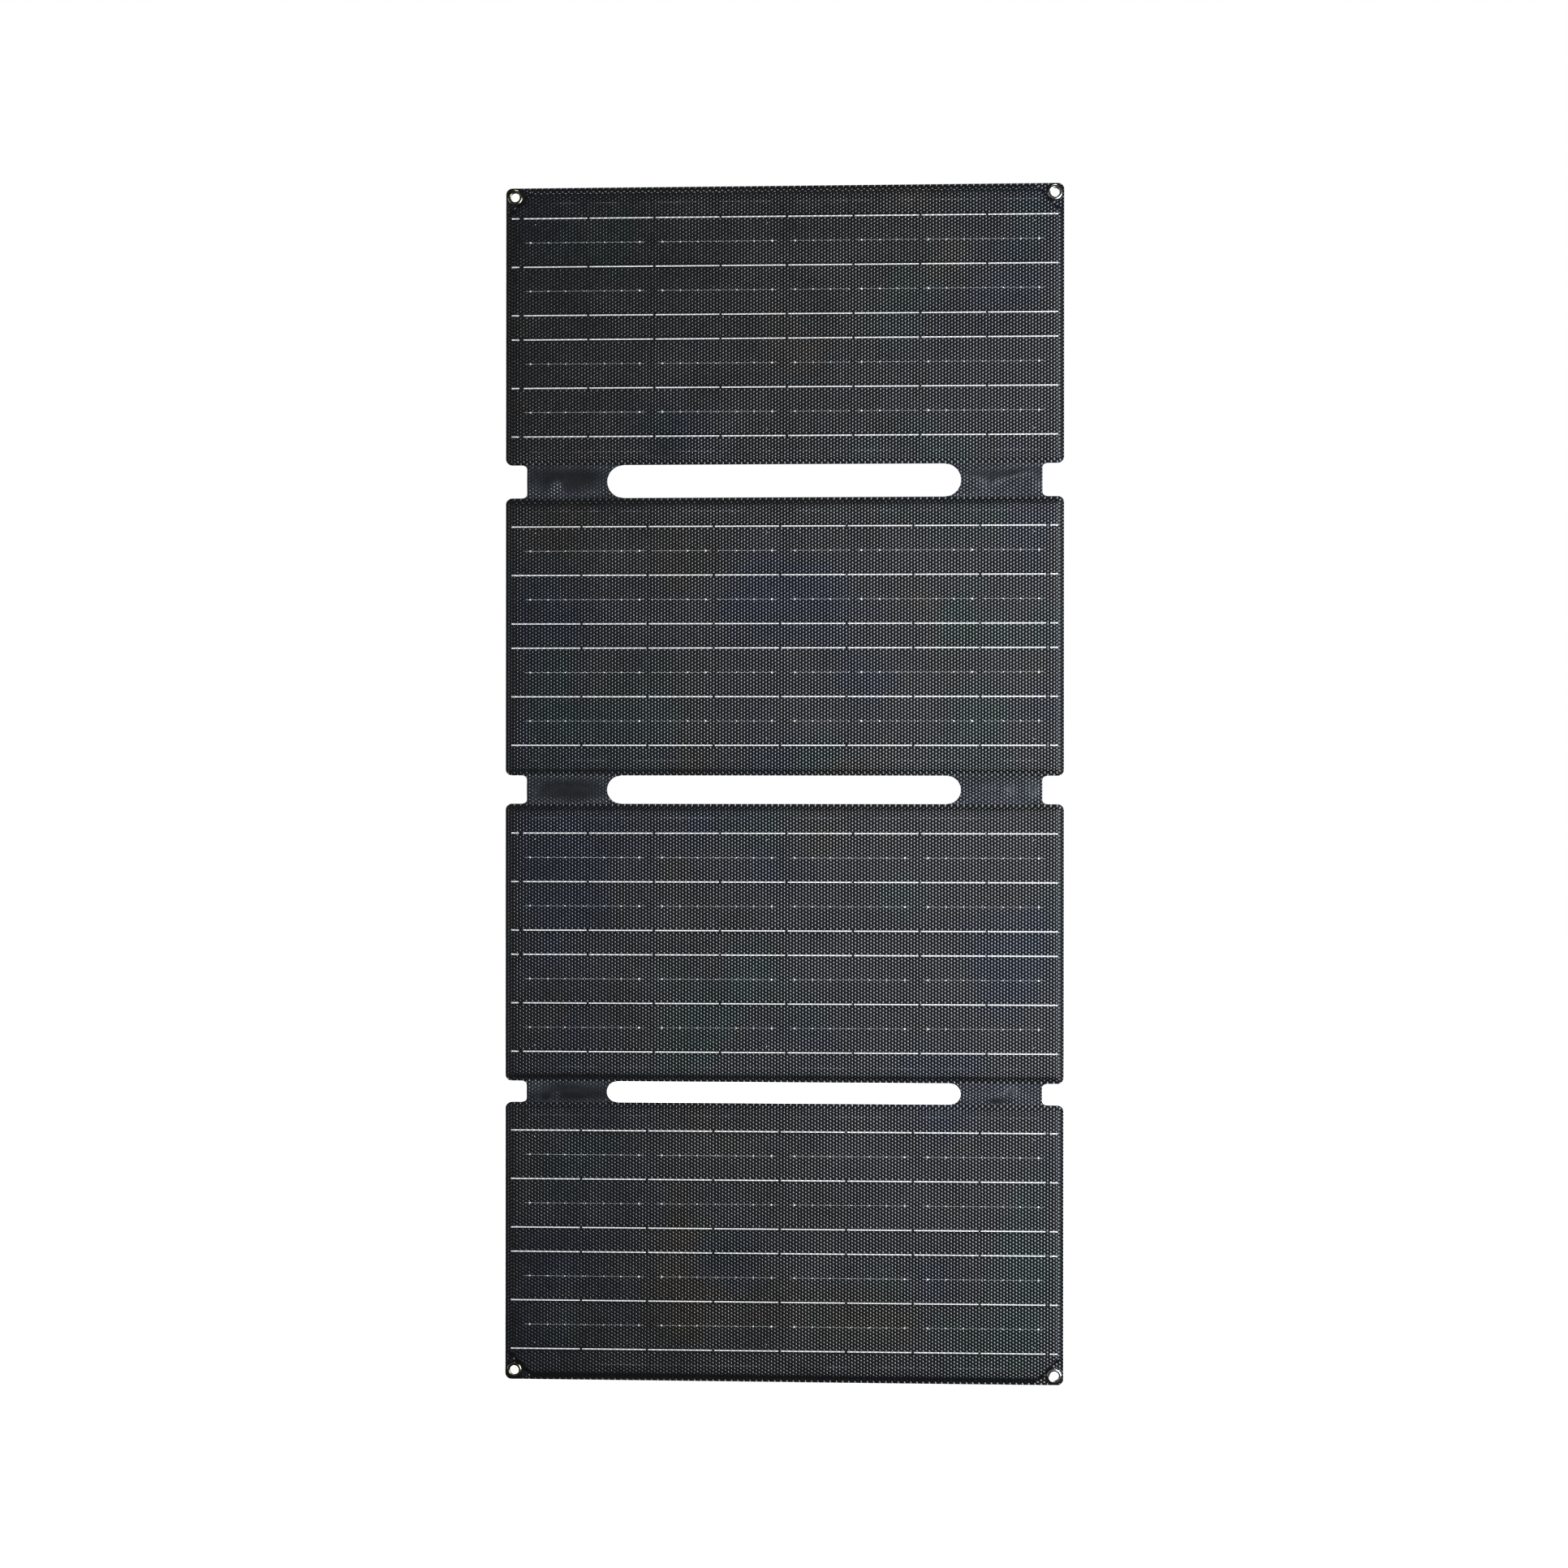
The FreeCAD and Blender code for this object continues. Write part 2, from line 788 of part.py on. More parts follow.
def make_box_base():
    """The tray bonded to the back fabric: walls, bosses, board posts, ports and hinge ears."""
    body = box_body("box_base")
    slab(
        body,
        lambda sketch: draw_rounded(sketch, "box_wide", "box_tall", "box_corner"),
        BOX_BACK,
        "back_face",
    )
    cut(
        body,
        lambda sketch: draw_rounded(
            sketch, "box_wide-2*box_wall", "box_tall-2*box_wall", "box_corner-box_wall"
        ),
        FLOOR_TOP,
        BOX_BACK,
    )
    slab(body, at_bosses("boss_radius"), BOX_BACK, "back_face+overlap")
    cut(body, at_bosses("screw_radius"), f"{LID_BACK}-screw_depth", BOX_BACK)

    def draw_posts(sketch):
        for across in ("-post_x", "post_x"):
            draw_circle(sketch, across, 0, "post_radius")

    slab(body, draw_posts, PCB_LOW, "back_face+overlap")

    def draw_lead_holes(sketch):
        for side in ("-", ""):
            draw_circle(sketch, f"{side}lead_post_x", 0, "lead_post_radius")

    cut(body, draw_lead_holes, "back_face", FLOOR_TOP)
    ports = side_sketch(body, "box_wide/2")
    clear = "2*port_clear"
    draw_rectangle(
        ports, *centred(f"usb_a_tall+{clear}", f"usb_a_wide+{clear}", USB_A_Y, "usb_a_at")
    )
    draw_rectangle(
        ports, *centred(f"usb_c_tall+{clear}", f"usb_c_wide+{clear}", USB_C_Y, "usb_c_at")
    )
    draw_circle(ports, DC_Y, "dc_at", "dc_nozzle+port_clear")
    pocket(body, ports, "box_wall+overlap")
    for low in ("cover_tall/2+ear_gap", "-cover_tall/2-ear_gap-ear_thick"):
        ear = new_sketch(body, "XY_Plane", low)
        draw_outline(
            ear,
            [
                ("box_wide/2-overlap", "hinge_y-knuckle"),
                ("hinge_x", "hinge_y-knuckle", "hinge_x", "hinge_y", 1),
                ("hinge_x", "hinge_y+knuckle"),
                ("box_wide/2-overlap", "hinge_y+knuckle"),
            ],
        )
        pad(body, ear, "ear_thick")
    pin = new_sketch(body, "XY_Plane", "cover_tall/2+ear_gap+ear_thick")
    draw_circle(pin, "hinge_x", "hinge_y", "hinge_pin")
    pocket(body, pin, "cover_tall+2*ear_gap+2*ear_thick")


def make_box_lid():
    """The flat lid with its screw holes and the hole for the status light."""
    body = box_body("box_lid")
    slab(
        body,
        lambda sketch: draw_rounded(sketch, "box_wide", "box_tall", "box_corner"),
        LID_BACK,
        LID_FRONT,
    )
    cut(body, at_bosses("screw_radius+port_clear"), LID_FRONT, LID_BACK)
    cut(
        body,
        lambda sketch: draw_circle(sketch, "light_at", 0, "light_radius"),
        LID_FRONT,
        LID_BACK,
    )


def make_box_gasket():
    """The flat seal between the walls and the lid."""
    body = box_body("box_gasket")
    rim = "box_wall/2-gasket_wide/2"
    slab(
        body,
        lambda sketch: draw_rounded(
            sketch, f"box_wide-2*({rim})", f"box_tall-2*({rim})", f"box_corner-({rim})"
        ),
        LID_FRONT,
        BOX_BACK,
    )
    inner = f"({rim}+gasket_wide)"
    cut(
        body,
        lambda sketch: draw_rounded(
            sketch, f"box_wide-2*{inner}", f"box_tall-2*{inner}", f"box_corner-{inner}"
        ),
        BOX_BACK,
        LID_FRONT,
    )


def make_lid_screws():
    """Four pan-head screws with a cross recess."""
    body = box_body("lid_screws")
    slab(body, at_bosses("screw_radius"), LID_BACK, f"{LID_BACK}-screw_depth")
    slab(body, at_bosses("head_radius"), f"{LID_BACK}+head_tall", LID_BACK)
    for wide, tall in (("recess_wide", "recess_long"), ("recess_long", "recess_wide")):

        def draw(sketch):
            for across in ("-boss_x", "boss_x"):
                for up in ("-boss_z", "boss_z"):
                    draw_rectangle(sketch, *centred(wide, tall, across, up))

        cut(body, draw, f"{LID_BACK}+head_tall/2", f"{LID_BACK}+head_tall")


def make_circuit_board():
    """The board, cut back at its corners to clear the bosses."""
    body = box_body("circuit_board")
    side, end = "pcb_wide/2", "pcb_tall/2"

    def draw(sketch):
        draw_outline(
            sketch,
            [
                (f"-{side}+pcb_cut", f"-{end}"),
                (f"{side}-pcb_cut", f"-{end}"),
                (side, f"-{end}+pcb_cut"),
                (side, f"{end}-pcb_cut"),
                (f"{side}-pcb_cut", end),
                (f"-{side}+pcb_cut", end),
                (f"-{side}", f"{end}-pcb_cut"),
                (f"-{side}", f"-{end}+pcb_cut"),
            ],
        )

    slab(body, draw, PCB_TOP, PCB_LOW)


def make_lead_posts():
    """Two soldered leads from the bus ribbons to the circuit board."""
    body = box_body("output_leads")

    def draw(sketch):
        for side in ("-", ""):
            draw_circle(sketch, f"{side}lead_post_x", 0, "lead_post_radius")

    slab(body, draw, PCB_LOW, "bus_back")


def make_usb_socket(label, kind, depth_y):
    """A metal socket shell, open at its mouth, with its contact tongue inside."""
    body = box_body(label)
    shell = side_sketch(body, f"{SOCKET_MOUTH}-{kind}_long")
    draw_rectangle(shell, *centred(f"{kind}_tall", f"{kind}_wide", depth_y, f"{kind}_at"))
    pad(body, shell, f"{kind}_long")
    room = side_sketch(body, SOCKET_MOUTH)
    draw_rectangle(
        room,
        *centred(
            f"{kind}_tall-2*{kind}_shell", f"{kind}_wide-2*{kind}_shell", depth_y, f"{kind}_at"
        ),
    )
    deep = f"{kind}_long-2"
    pocket(body, room, deep)
    tongue = side_sketch(body, f"{SOCKET_MOUTH}-{deep}-0.5")
    draw_rectangle(
        tongue, *centred(f"{kind}_tongue", f"{kind}_wide-4*{kind}_shell-0.6", depth_y, f"{kind}_at")
    )
    pad(body, tongue, f"{deep}-overlap")


def make_dc_socket():
    """A barrel socket with its centre pin."""
    body = box_body("dc_socket")
    block = side_sketch(body, "box_wide/2-box_wall-dc_long")
    draw_rectangle(block, *centred("dc_tall", "dc_wide", DC_Y, "dc_at"))
    pad(body, block, "dc_long")
    nozzle = side_sketch(body, "box_wide/2-box_wall-overlap")
    draw_circle(nozzle, DC_Y, "dc_at", "dc_nozzle")
    pad(body, nozzle, "box_wall+overlap-mouth_inset")
    room = side_sketch(body, SOCKET_MOUTH)
    draw_circle(room, DC_Y, "dc_at", "dc_bore")
    pocket(body, room, "socket_depth")
    pin = side_sketch(body, f"{SOCKET_MOUTH}-socket_depth-overlap")
    draw_circle(pin, DC_Y, "dc_at", "dc_pin")
    pad(body, pin, "socket_depth")


def make_board_parts():
    """What is soldered to the board beside the sockets."""
    for label, wide, tall, high, across, up in (
        ("bypass_diode", "diode_wide", "diode_tall", "diode_high", "diode_at", "diode_up"),
        ("controller_chip", "chip_wide", "chip_wide", "chip_high", "chip_at", "low_row"),
    ):
        body = box_body(label)
        slab(
            body,
            lambda sketch: draw_rectangle(sketch, *centred(wide, tall, across, up)),
            f"{PCB_TOP}+{high}",
            PCB_TOP,
        )
    inductor = box_body("inductor")
    slab(
        inductor,
        lambda sketch: draw_rounded(
            sketch, "inductor_wide", "inductor_wide", "inductor_corner", "inductor_at", "low_row"
        ),
        f"{PCB_TOP}+inductor_high",
        PCB_TOP,
    )
    capacitors = box_body("capacitors")

    def draw(sketch):
        for across in ("capacitor_outer", "capacitor_inner"):
            draw_circle(sketch, across, "capacitor_up", "capacitor_radius")

    slab(capacitors, draw, f"{PCB_TOP}+capacitor_high", PCB_TOP)
    light = box_body("status_light")
    slab(
        light,
        lambda sketch: draw_circle(sketch, "light_at", 0, "light_radius"),
        f"{LID_BACK}+light_proud",
        PCB_TOP,
    )


def make_port_cover():
    """The hinged dust cover over the sockets, and its pin."""
    body = box_body("port_cover")
    half = "cover_tall/2"
    inner = "hinge_x-knuckle"
    outer = f"{inner}+cover_thick"
    outline = new_sketch(body, "XY_Plane", f"-{half}")
    draw_outline(
        outline,
        [
            (inner, "cover_front"),
            (outer, "cover_front"),
            (outer, "hinge_y"),
            (inner, "hinge_y"),
        ],
    )
    pad(body, outline, "cover_tall")
    roll = new_sketch(body, "XY_Plane", f"-{half}")
    draw_circle(roll, "hinge_x", "hinge_y", "knuckle")
    pad(body, roll, "cover_tall")
    bore = new_sketch(body, "XY_Plane", half)
    draw_circle(bore, "hinge_x", "hinge_y", "knuckle_hole")
    pocket(body, bore, "cover_tall")
    pin = box_body("port_cover_pin")
    rod = new_sketch(pin, "XY_Plane", f"-{half}-ear_gap-ear_thick")
    draw_circle(rod, "hinge_x", "hinge_y", "hinge_pin")
    pad(pin, rod, "cover_tall+2*ear_gap+2*ear_thick")


# ---- build, test and write ----------------------------------------------------------

for panel_number in range(4):
    make_back_fabric(panel_number)
    make_core_sheet(panel_number, "backing_board", "board_back", "board_front")
    make_core_sheet(panel_number, "encapsulant", "board_front", "cell_back")
    make_cells(panel_number)
    make_ribbons(panel_number)
    make_bus_ribbons(panel_number)
    make_front_film(panel_number)
make_eyelets("top", 0)
make_eyelets("bottom", BOTTOM_EYELETS)
for fold_number in range(3):
    make_fold(fold_number)
make_box_base()
make_box_lid()
make_box_gasket()
make_lid_screws()
make_circuit_board()
make_lead_posts()
make_usb_socket("usb_a_socket", "usb_a", USB_A_Y)
make_usb_socket("usb_c_socket", "usb_c", USB_C_Y)
make_dc_socket()
make_board_parts()
make_port_cover()

doc.recompute()
for item in doc.Objects:
    if {"Invalid", "Error"} & set(item.State):
        raise RuntimeError(f"{item.Label} failed: {item.State}")
for sub_part in SUB_PARTS:
    if sub_part.Shape.isNull() or not sub_part.Shape.isValid():
        raise RuntimeError(f"{sub_part.Label} has no valid shape")

os.makedirs("parts", exist_ok=True)
for sub_part in SUB_PARTS:
    sub_part.Shape.exportStep(f"parts/{sub_part.Label}.step")
print(len(SUB_PARTS), "sub-parts written")
for fold_number in range(3):
    print("fold", fold_number + 1, "bends at Z", fold_axes(fold_number))
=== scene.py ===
import json
import math
import random

import bmesh
import bpy
import numpy as np
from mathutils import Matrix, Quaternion, Vector


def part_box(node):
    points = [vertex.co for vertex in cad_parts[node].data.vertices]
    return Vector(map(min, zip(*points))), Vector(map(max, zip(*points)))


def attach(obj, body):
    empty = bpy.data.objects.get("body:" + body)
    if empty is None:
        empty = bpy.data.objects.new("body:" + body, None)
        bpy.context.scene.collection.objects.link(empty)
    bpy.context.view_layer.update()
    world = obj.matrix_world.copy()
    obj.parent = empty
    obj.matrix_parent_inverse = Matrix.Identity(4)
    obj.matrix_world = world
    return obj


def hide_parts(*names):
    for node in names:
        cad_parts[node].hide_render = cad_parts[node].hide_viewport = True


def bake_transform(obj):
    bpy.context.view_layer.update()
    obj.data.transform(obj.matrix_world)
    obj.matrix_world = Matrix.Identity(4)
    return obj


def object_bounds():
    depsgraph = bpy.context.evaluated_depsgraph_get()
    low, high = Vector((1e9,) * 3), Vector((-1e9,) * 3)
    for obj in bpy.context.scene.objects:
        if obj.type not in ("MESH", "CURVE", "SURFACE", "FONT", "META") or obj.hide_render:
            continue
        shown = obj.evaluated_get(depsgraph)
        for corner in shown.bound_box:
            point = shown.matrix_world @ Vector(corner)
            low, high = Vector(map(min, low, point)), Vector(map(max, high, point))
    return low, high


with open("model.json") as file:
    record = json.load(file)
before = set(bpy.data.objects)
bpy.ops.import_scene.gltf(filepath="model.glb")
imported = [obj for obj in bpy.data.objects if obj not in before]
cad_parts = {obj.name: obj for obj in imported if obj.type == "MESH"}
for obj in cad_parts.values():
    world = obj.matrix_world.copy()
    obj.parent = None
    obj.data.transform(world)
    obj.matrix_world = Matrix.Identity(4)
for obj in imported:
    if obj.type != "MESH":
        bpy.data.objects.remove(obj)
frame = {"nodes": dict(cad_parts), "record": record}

# A folding solar blanket: four embossed panels, soft fold webs, eyelets and a junction
# box.  X is across it, Y points behind it and Z is up, in metres.

MM = 0.001
PANELS = (1, 2, 3, 4)
FOLDS = ("12", "23", "34")
cad_low, cad_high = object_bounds()
nodes = frame["nodes"]


# ---- sizes, from the frame and a few of the object's own -----------------------------

def middle(node, axis):
    """The middle of a CAD node along one axis."""
    low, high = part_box(node)
    return (low[axis] + high[axis]) / 2


def panel_centre(panel):
    return middle(f"panel_{panel}_front_film", 2)


def laid_centre(panel):
    """The middle of a panel's cells, which is a little off the panel's own."""
    return panel_centre(panel) + LAID_UP[panel]


FILM_LOW, FILM_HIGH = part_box("panel_1_front_film")
HALF_WIDE = FILM_HIGH.x
HALF_TALL = (FILM_HIGH.z - FILM_LOW.z) / 2
FRONT_Y = FILM_LOW.y
FABRIC_Y = FILM_HIGH.y
BACK_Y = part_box("panel_1_back_fabric")[1].y
RIM_Y = -0.2 * MM
RIM = HALF_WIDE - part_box("panel_1_backing_board")[1].x
CORNER = 4.5 * MM
HIDDEN_FOOT = -1 * MM  # where pieces that show through the film end, out of sight inside it

CELLS_LOW, CELLS_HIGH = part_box("panel_1_cells")
FIELD_HALF = CELLS_HIGH.x
CELL_HALF_TALL = (CELLS_HIGH.z - CELLS_LOW.z) / 2
STRIPS = 8
STRIP_GAP = 2.57 * MM
STRIP_PITCH = (2 * FIELD_HALF + STRIP_GAP) / STRIPS
WAFER_CHAMFER = 7.6 * MM
WAFER_MIDDLE = FIELD_HALF / 2 + STRIP_GAP / 4  # each panel has two wafers, cut into strips

ROW_PITCH = 17.6 * MM
SOLID_ROWS = (0, 2, 4, 5, 7, 9)
DOTTED_ROWS = (1, 3, 6, 8)
MIDDLE_ROW = 4.5
RIBBON_WIDE = 1.05 * MM
RIBBON_LEAD = 2 * MM  # from the first strip's edge to the start of its ribbon
RIBBON_GAP = 1.8 * MM
RIBBON_EDGE = HALF_WIDE - RIM + 1.7 * MM  # how far out the outermost ribbons run
TAIL = 5.5 * MM  # the short end of ribbon beyond the field

EYELET_INSET = 6.6 * MM
EYELET_X = middle("top_eyelets", 0) + HALF_WIDE - EYELET_INSET
EYELET_BARREL = 3.75 * MM
EYELET_TURNS = 64  # faces round an eyelet
EYELET_FOOT = 21.6 * MM  # the board is cut off where across plus up from the corner is this
EYELET_Z = {1: middle("top_eyelets", 2), 4: middle("bottom_eyelets", 2)}

# how far each laminate was laid off its panel's middle
LAID_UP = {1: -0.9 * MM, 2: 0.5 * MM, 3: 0.1 * MM, 4: 1.2 * MM}

# the emboss: round domes on a triangular lattice, each with two neighbours above and below
DOME_PITCH = 2.58 * MM
DOME_COLUMN = DOME_PITCH * math.sqrt(3) / 2
DOME_RADIUS = 3.6 * MM
FILM_WAVES = 0.1  # how far the film's slow waves tilt its normal


# ---- node helpers -------------------------------------------------------------------

class Shade:
    """A material under construction, with short calls for the nodes it needs."""

    def __init__(self, name):
        self.material = bpy.data.materials.new(name)
        self.material.use_nodes = True
        self.tree = self.material.node_tree
        self.surface = self.tree.nodes["Principled BSDF"]
        self.place = self.add("ShaderNodeTexCoord").outputs["Object"]
        self.rest = self.attribute("rest", "Vector")

    def add(self, kind, **settings):
        node = self.tree.nodes.new(kind)
        for key, value in settings.items():
            setattr(node, key, value)
        return node

    def attribute(self, name, output):
        return self.add("ShaderNodeAttribute", attribute_name=name).outputs[output]

    def feed(self, socket, value):
        if isinstance(value, bpy.types.NodeSocket):
            self.tree.links.new(value, socket)
        else:
            socket.default_value = value

    def math(self, operation, *values):
        node = self.add("ShaderNodeMath", operation=operation)
        for socket, value in zip(node.inputs, values):
            self.feed(socket, value)
        return node.outputs[0]

    def vector(self, operation, *values):
        node = self.add("ShaderNodeVectorMath", operation=operation)
        sockets = [node.inputs[0], node.inputs["Scale"]] if operation == "SCALE" else node.inputs
        for socket, value in zip(sockets, values):
            self.feed(socket, value)
        return node.outputs["Value" if operation in ("DOT_PRODUCT", "LENGTH") else "Vector"]

    def axis(self, letter, place=None):
        node = self.add("ShaderNodeSeparateXYZ")
        self.feed(node.inputs[0], place or self.place)
        return node.outputs[letter]

    def step(self, value, low, high):
        """0 at low and 1 at high, smooth between them."""
        node = self.add("ShaderNodeMapRange", interpolation_type="SMOOTHSTEP")
        self.feed(node.inputs["Value"], value)
        self.feed(node.inputs["From Min"], low)
        self.feed(node.inputs["From Max"], high)
        return node.outputs["Result"]

    def noise(self, scale, detail=3.0, place=None, stretch=None):
        node = self.add("ShaderNodeTexNoise")
        where = place or self.place
        if stretch:
            where = self.vector("MULTIPLY", where, stretch)
        self.feed(node.inputs["Vector"], where)
        node.inputs["Scale"].default_value = scale
        node.inputs["Detail"].default_value = detail
        return node.outputs["Fac"]

    def mix(self, share, first, second):
        node = self.add("ShaderNodeMix", data_type="RGBA")
        self.feed(node.inputs["Factor"], share)
        for name, value in (("A", first), ("B", second)):
            socket = next(s for s in node.inputs if s.name == name and s.type == "RGBA")
            self.feed(socket, value if isinstance(value, bpy.types.NodeSocket) else (*value, 1))
        return next(s for s in node.outputs if s.type == "RGBA")

    def bump(self, height, distance):
        node = self.add("ShaderNodeBump")
        node.inputs["Strength"].default_value = 1.0
        node.inputs["Distance"].default_value = distance
        self.feed(node.inputs["Height"], height)
        return node.outputs["Normal"]

    def set(self, **sockets):
        for name, value in sockets.items():
            socket = self.surface.inputs[name.replace("_", " ")]
            if isinstance(value, tuple) and len(value) == 3 and socket.type == "RGBA":
                value = (*value, 1)
            self.feed(socket, value)
        return self.material


def dome_offset(shade):
    """Across and up from the top of the nearest dome, and the square of that distance."""
    cell = (2 * DOME_COLUMN, 2.0, DOME_PITCH)
    flat = shade.vector("MULTIPLY", shade.rest, (1, 0, 1))
    offsets = []
    for shift in ((0, 0, 0), (DOME_COLUMN, 0, DOME_PITCH / 2)):
        wrap = shade.add("ShaderNodeVectorMath", operation="WRAP")
        shade.feed(wrap.inputs[0], shade.vector("ADD", flat, shift))
        shade.feed(wrap.inputs[1], tuple(size / 2 for size in cell))
        shade.feed(wrap.inputs[2], tuple(-size / 2 for size in cell))
        offsets.append(wrap.outputs["Vector"])
    squares = [shade.vector("DOT_PRODUCT", offset, offset) for offset in offsets]
    pick = shade.add("ShaderNodeMix", data_type="VECTOR")
    shade.feed(pick.inputs["Factor"], shade.math("GREATER_THAN", squares[0], squares[1]))
    for name, source in (("A", offsets[0]), ("B", offsets[1])):
        socket = next(s for s in pick.inputs if s.name == name and s.type == "VECTOR")
        shade.feed(socket, source)
    offset = next(item for item in pick.outputs if item.type == "VECTOR")
    return offset, shade.math("MINIMUM", *squares)


def embossed_normal(shade, strength=1.0):
    """The surface's own normal, tilted by the round domes and by slow waves in the film.

    The pieces carry two attributes: rest, a point's place before anything folds, and
    relief, how far the emboss stands up there, from 0 to 1.
    """
    offset, _ = dome_offset(shade)
    tilt = shade.math("MULTIPLY", shade.attribute("relief", "Fac"), strength / DOME_RADIUS)
    leans = []
    for letter, shift in (("X", (5.0, 1.0, 2.0)), ("Z", (2.0, 8.0, 4.0))):
        place = shade.vector("ADD", shade.rest, shift)
        slow = shade.math("SUBTRACT", shade.noise(28, 1, place), 0.5)
        quick = shade.math("SUBTRACT", shade.noise(330, 1, place), 0.5)
        wave = shade.math("MULTIPLY", shade.math("ADD", slow, quick), FILM_WAVES)
        leans.append(shade.math("MULTIPLY_ADD", shade.axis(letter, offset), tilt, wave))
    normal = shade.add("ShaderNodeNewGeometry").outputs["Normal"]
    up = shade.vector("CROSS_PRODUCT", normal, (1, 0, 0))
    leaning = shade.vector("ADD", normal, shade.vector("SCALE", (1, 0, 0), leans[0]))
    leaning = shade.vector("ADD", leaning, shade.vector("SCALE", up, leans[1]))
    return shade.vector("NORMALIZE", leaning)


# ---- materials ----------------------------------------------------------------------

def cell_pattern(shade, panel):
    """How much of each point is cell and not gap, and the light line at the cells' edges."""
    across = shade.axis("X", shade.rest)
    wide = shade.math("ABSOLUTE", across)
    up = shade.math("SUBTRACT", shade.axis("Z", shade.rest), laid_centre(panel))
    tall = shade.math("ABSOLUTE", up)
    soft = 0.2 * MM
    in_field = shade.math(
        "MULTIPLY",
        shade.step(wide, FIELD_HALF + soft, FIELD_HALF - soft),
        shade.step(tall, CELL_HALF_TALL + soft, CELL_HALF_TALL - soft),
    )
    phase = shade.math("DIVIDE", across, STRIP_PITCH)
    off_gap = shade.math("ABSOLUTE", shade.math("SUBTRACT", phase, shade.math("ROUND", phase)))
    off_gap = shade.math("MULTIPLY", off_gap, STRIP_PITCH)
    on_strip = shade.step(off_gap, STRIP_GAP / 2 - soft, STRIP_GAP / 2 + soft)
    # the wafers' cut corners
    from_middle = shade.math("ABSOLUTE", shade.math("SUBTRACT", wide, WAFER_MIDDLE))
    reach = shade.math("ADD", tall, from_middle)
    corner = CELL_HALF_TALL + WAFER_MIDDLE - STRIP_GAP / 2 - WAFER_CHAMFER
    in_corner = shade.step(reach, corner + soft, corner - soft)
    cell = shade.math("MULTIPLY", shade.math("MULTIPLY", in_field, on_strip), in_corner)
    off_edge = shade.math("ABSOLUTE", shade.math("SUBTRACT", tall, CELL_HALF_TALL - 0.7 * MM))
    edge_line = shade.step(off_edge, 0.28 * MM, 0.1 * MM)
    return cell, shade.math("MULTIPLY", edge_line, cell)


def film_material(panel):
    """Clear embossed film over the cells, whose dark tone shows through it."""
    shade = Shade(f"embossed_film_{panel}")
    cell, edge_line = cell_pattern(shade, panel)
    hue = (0.9, 0.95, 1.0)
    drifts = (
        (9.0, (3.1, 0.7, 1.9), 0.5, 0.68, (0.66, 0.82, 1.2)),
        (13.0, (7.3, 2.2, 5.1), 0.54, 0.72, (0.7, 1.02, 0.98)),
        (11.0, (1.4, 9.2, 3.3), 0.56, 0.74, (1.08, 0.94, 0.84)),
    )
    for scale, shift, low, high, colour in drifts:
        drift = shade.noise(scale, 2.0, shade.vector("ADD", shade.rest, shift))
        hue = shade.mix(shade.math("MULTIPLY", shade.step(drift, low, high), 0.55), hue, colour)
    tone = shade.vector("SCALE", hue, 0.0065)
    broken = shade.step(shade.noise(30, 2, shade.rest), 0.42, 0.58)
    tone = shade.mix(shade.math("MULTIPLY", edge_line, broken), tone, (0.05, 0.054, 0.062))
    base = shade.mix(cell, (0.005, 0.005, 0.0055), tone)
    haze = shade.noise(40, 3, shade.rest)
    return shade.set(
        Base_Color=base,
        Metallic=0.4,
        Specular_Tint=hue,
        Roughness=shade.math("MULTIPLY_ADD", haze, 0.08, 0.2),
        Normal=embossed_normal(shade),
    )


def web_material():
    """The same film bonded to fabric with no cells behind it, rubbed where it folds, and painted
    darker where the emboss is pressed flat, as shade in the folds.
    """
    shade = Shade("fold_web")
    rub = shade.noise(60, 4, shade.rest)
    relief = shade.attribute("relief", "Fac")
    rough = shade.math("MULTIPLY_ADD", relief, -0.2, 0.4)
    rubbed = shade.mix(shade.step(rub, 0.35, 0.7), (0.011, 0.013, 0.016), (0.017, 0.02, 0.025))
    # painted shade: darker where the emboss is pressed flat, for the shadowed folds there
    base = shade.mix(shade.step(relief, 0.1, 0.8), (0.006, 0.007, 0.009), rubbed)
    return shade.set(
        Base_Color=base,
        Metallic=0.5,
        Specular_IOR_Level=0.45,
        Specular_Tint=(0.86, 0.93, 1.0, 1),
        Roughness=shade.math("MULTIPLY_ADD", rub, 0.08, rough),
        Normal=embossed_normal(shade),
    )


def ribbon_material(name, dull, bright, strength):
    """Tinned copper seen through the film: rolled grain, with a painted highlight on each dome's
    top and painted shade between the domes, where the emboss breaks the light.
    """
    shade = Shade(name)
    grain = shade.noise(900, 3, shade.rest, (0.05, 1, 1))
    _, square = dome_offset(shade)
    # painted highlight on each dome's top and painted shade between the domes
    painted_dome_glint = shade.step(square, (1.25 * MM) ** 2, (0.55 * MM) ** 2)
    share = shade.math("ADD", shade.math("MULTIPLY", grain, 0.3), shade.math("MULTIPLY", painted_dome_glint, 0.7))
    base = shade.mix(share, dull, bright)
    return shade.set(
        Base_Color=base,
        Metallic=0.3,
        Roughness=shade.math("MULTIPLY_ADD", grain, 0.15, 0.4),
        Normal=embossed_normal(shade, strength),
    )


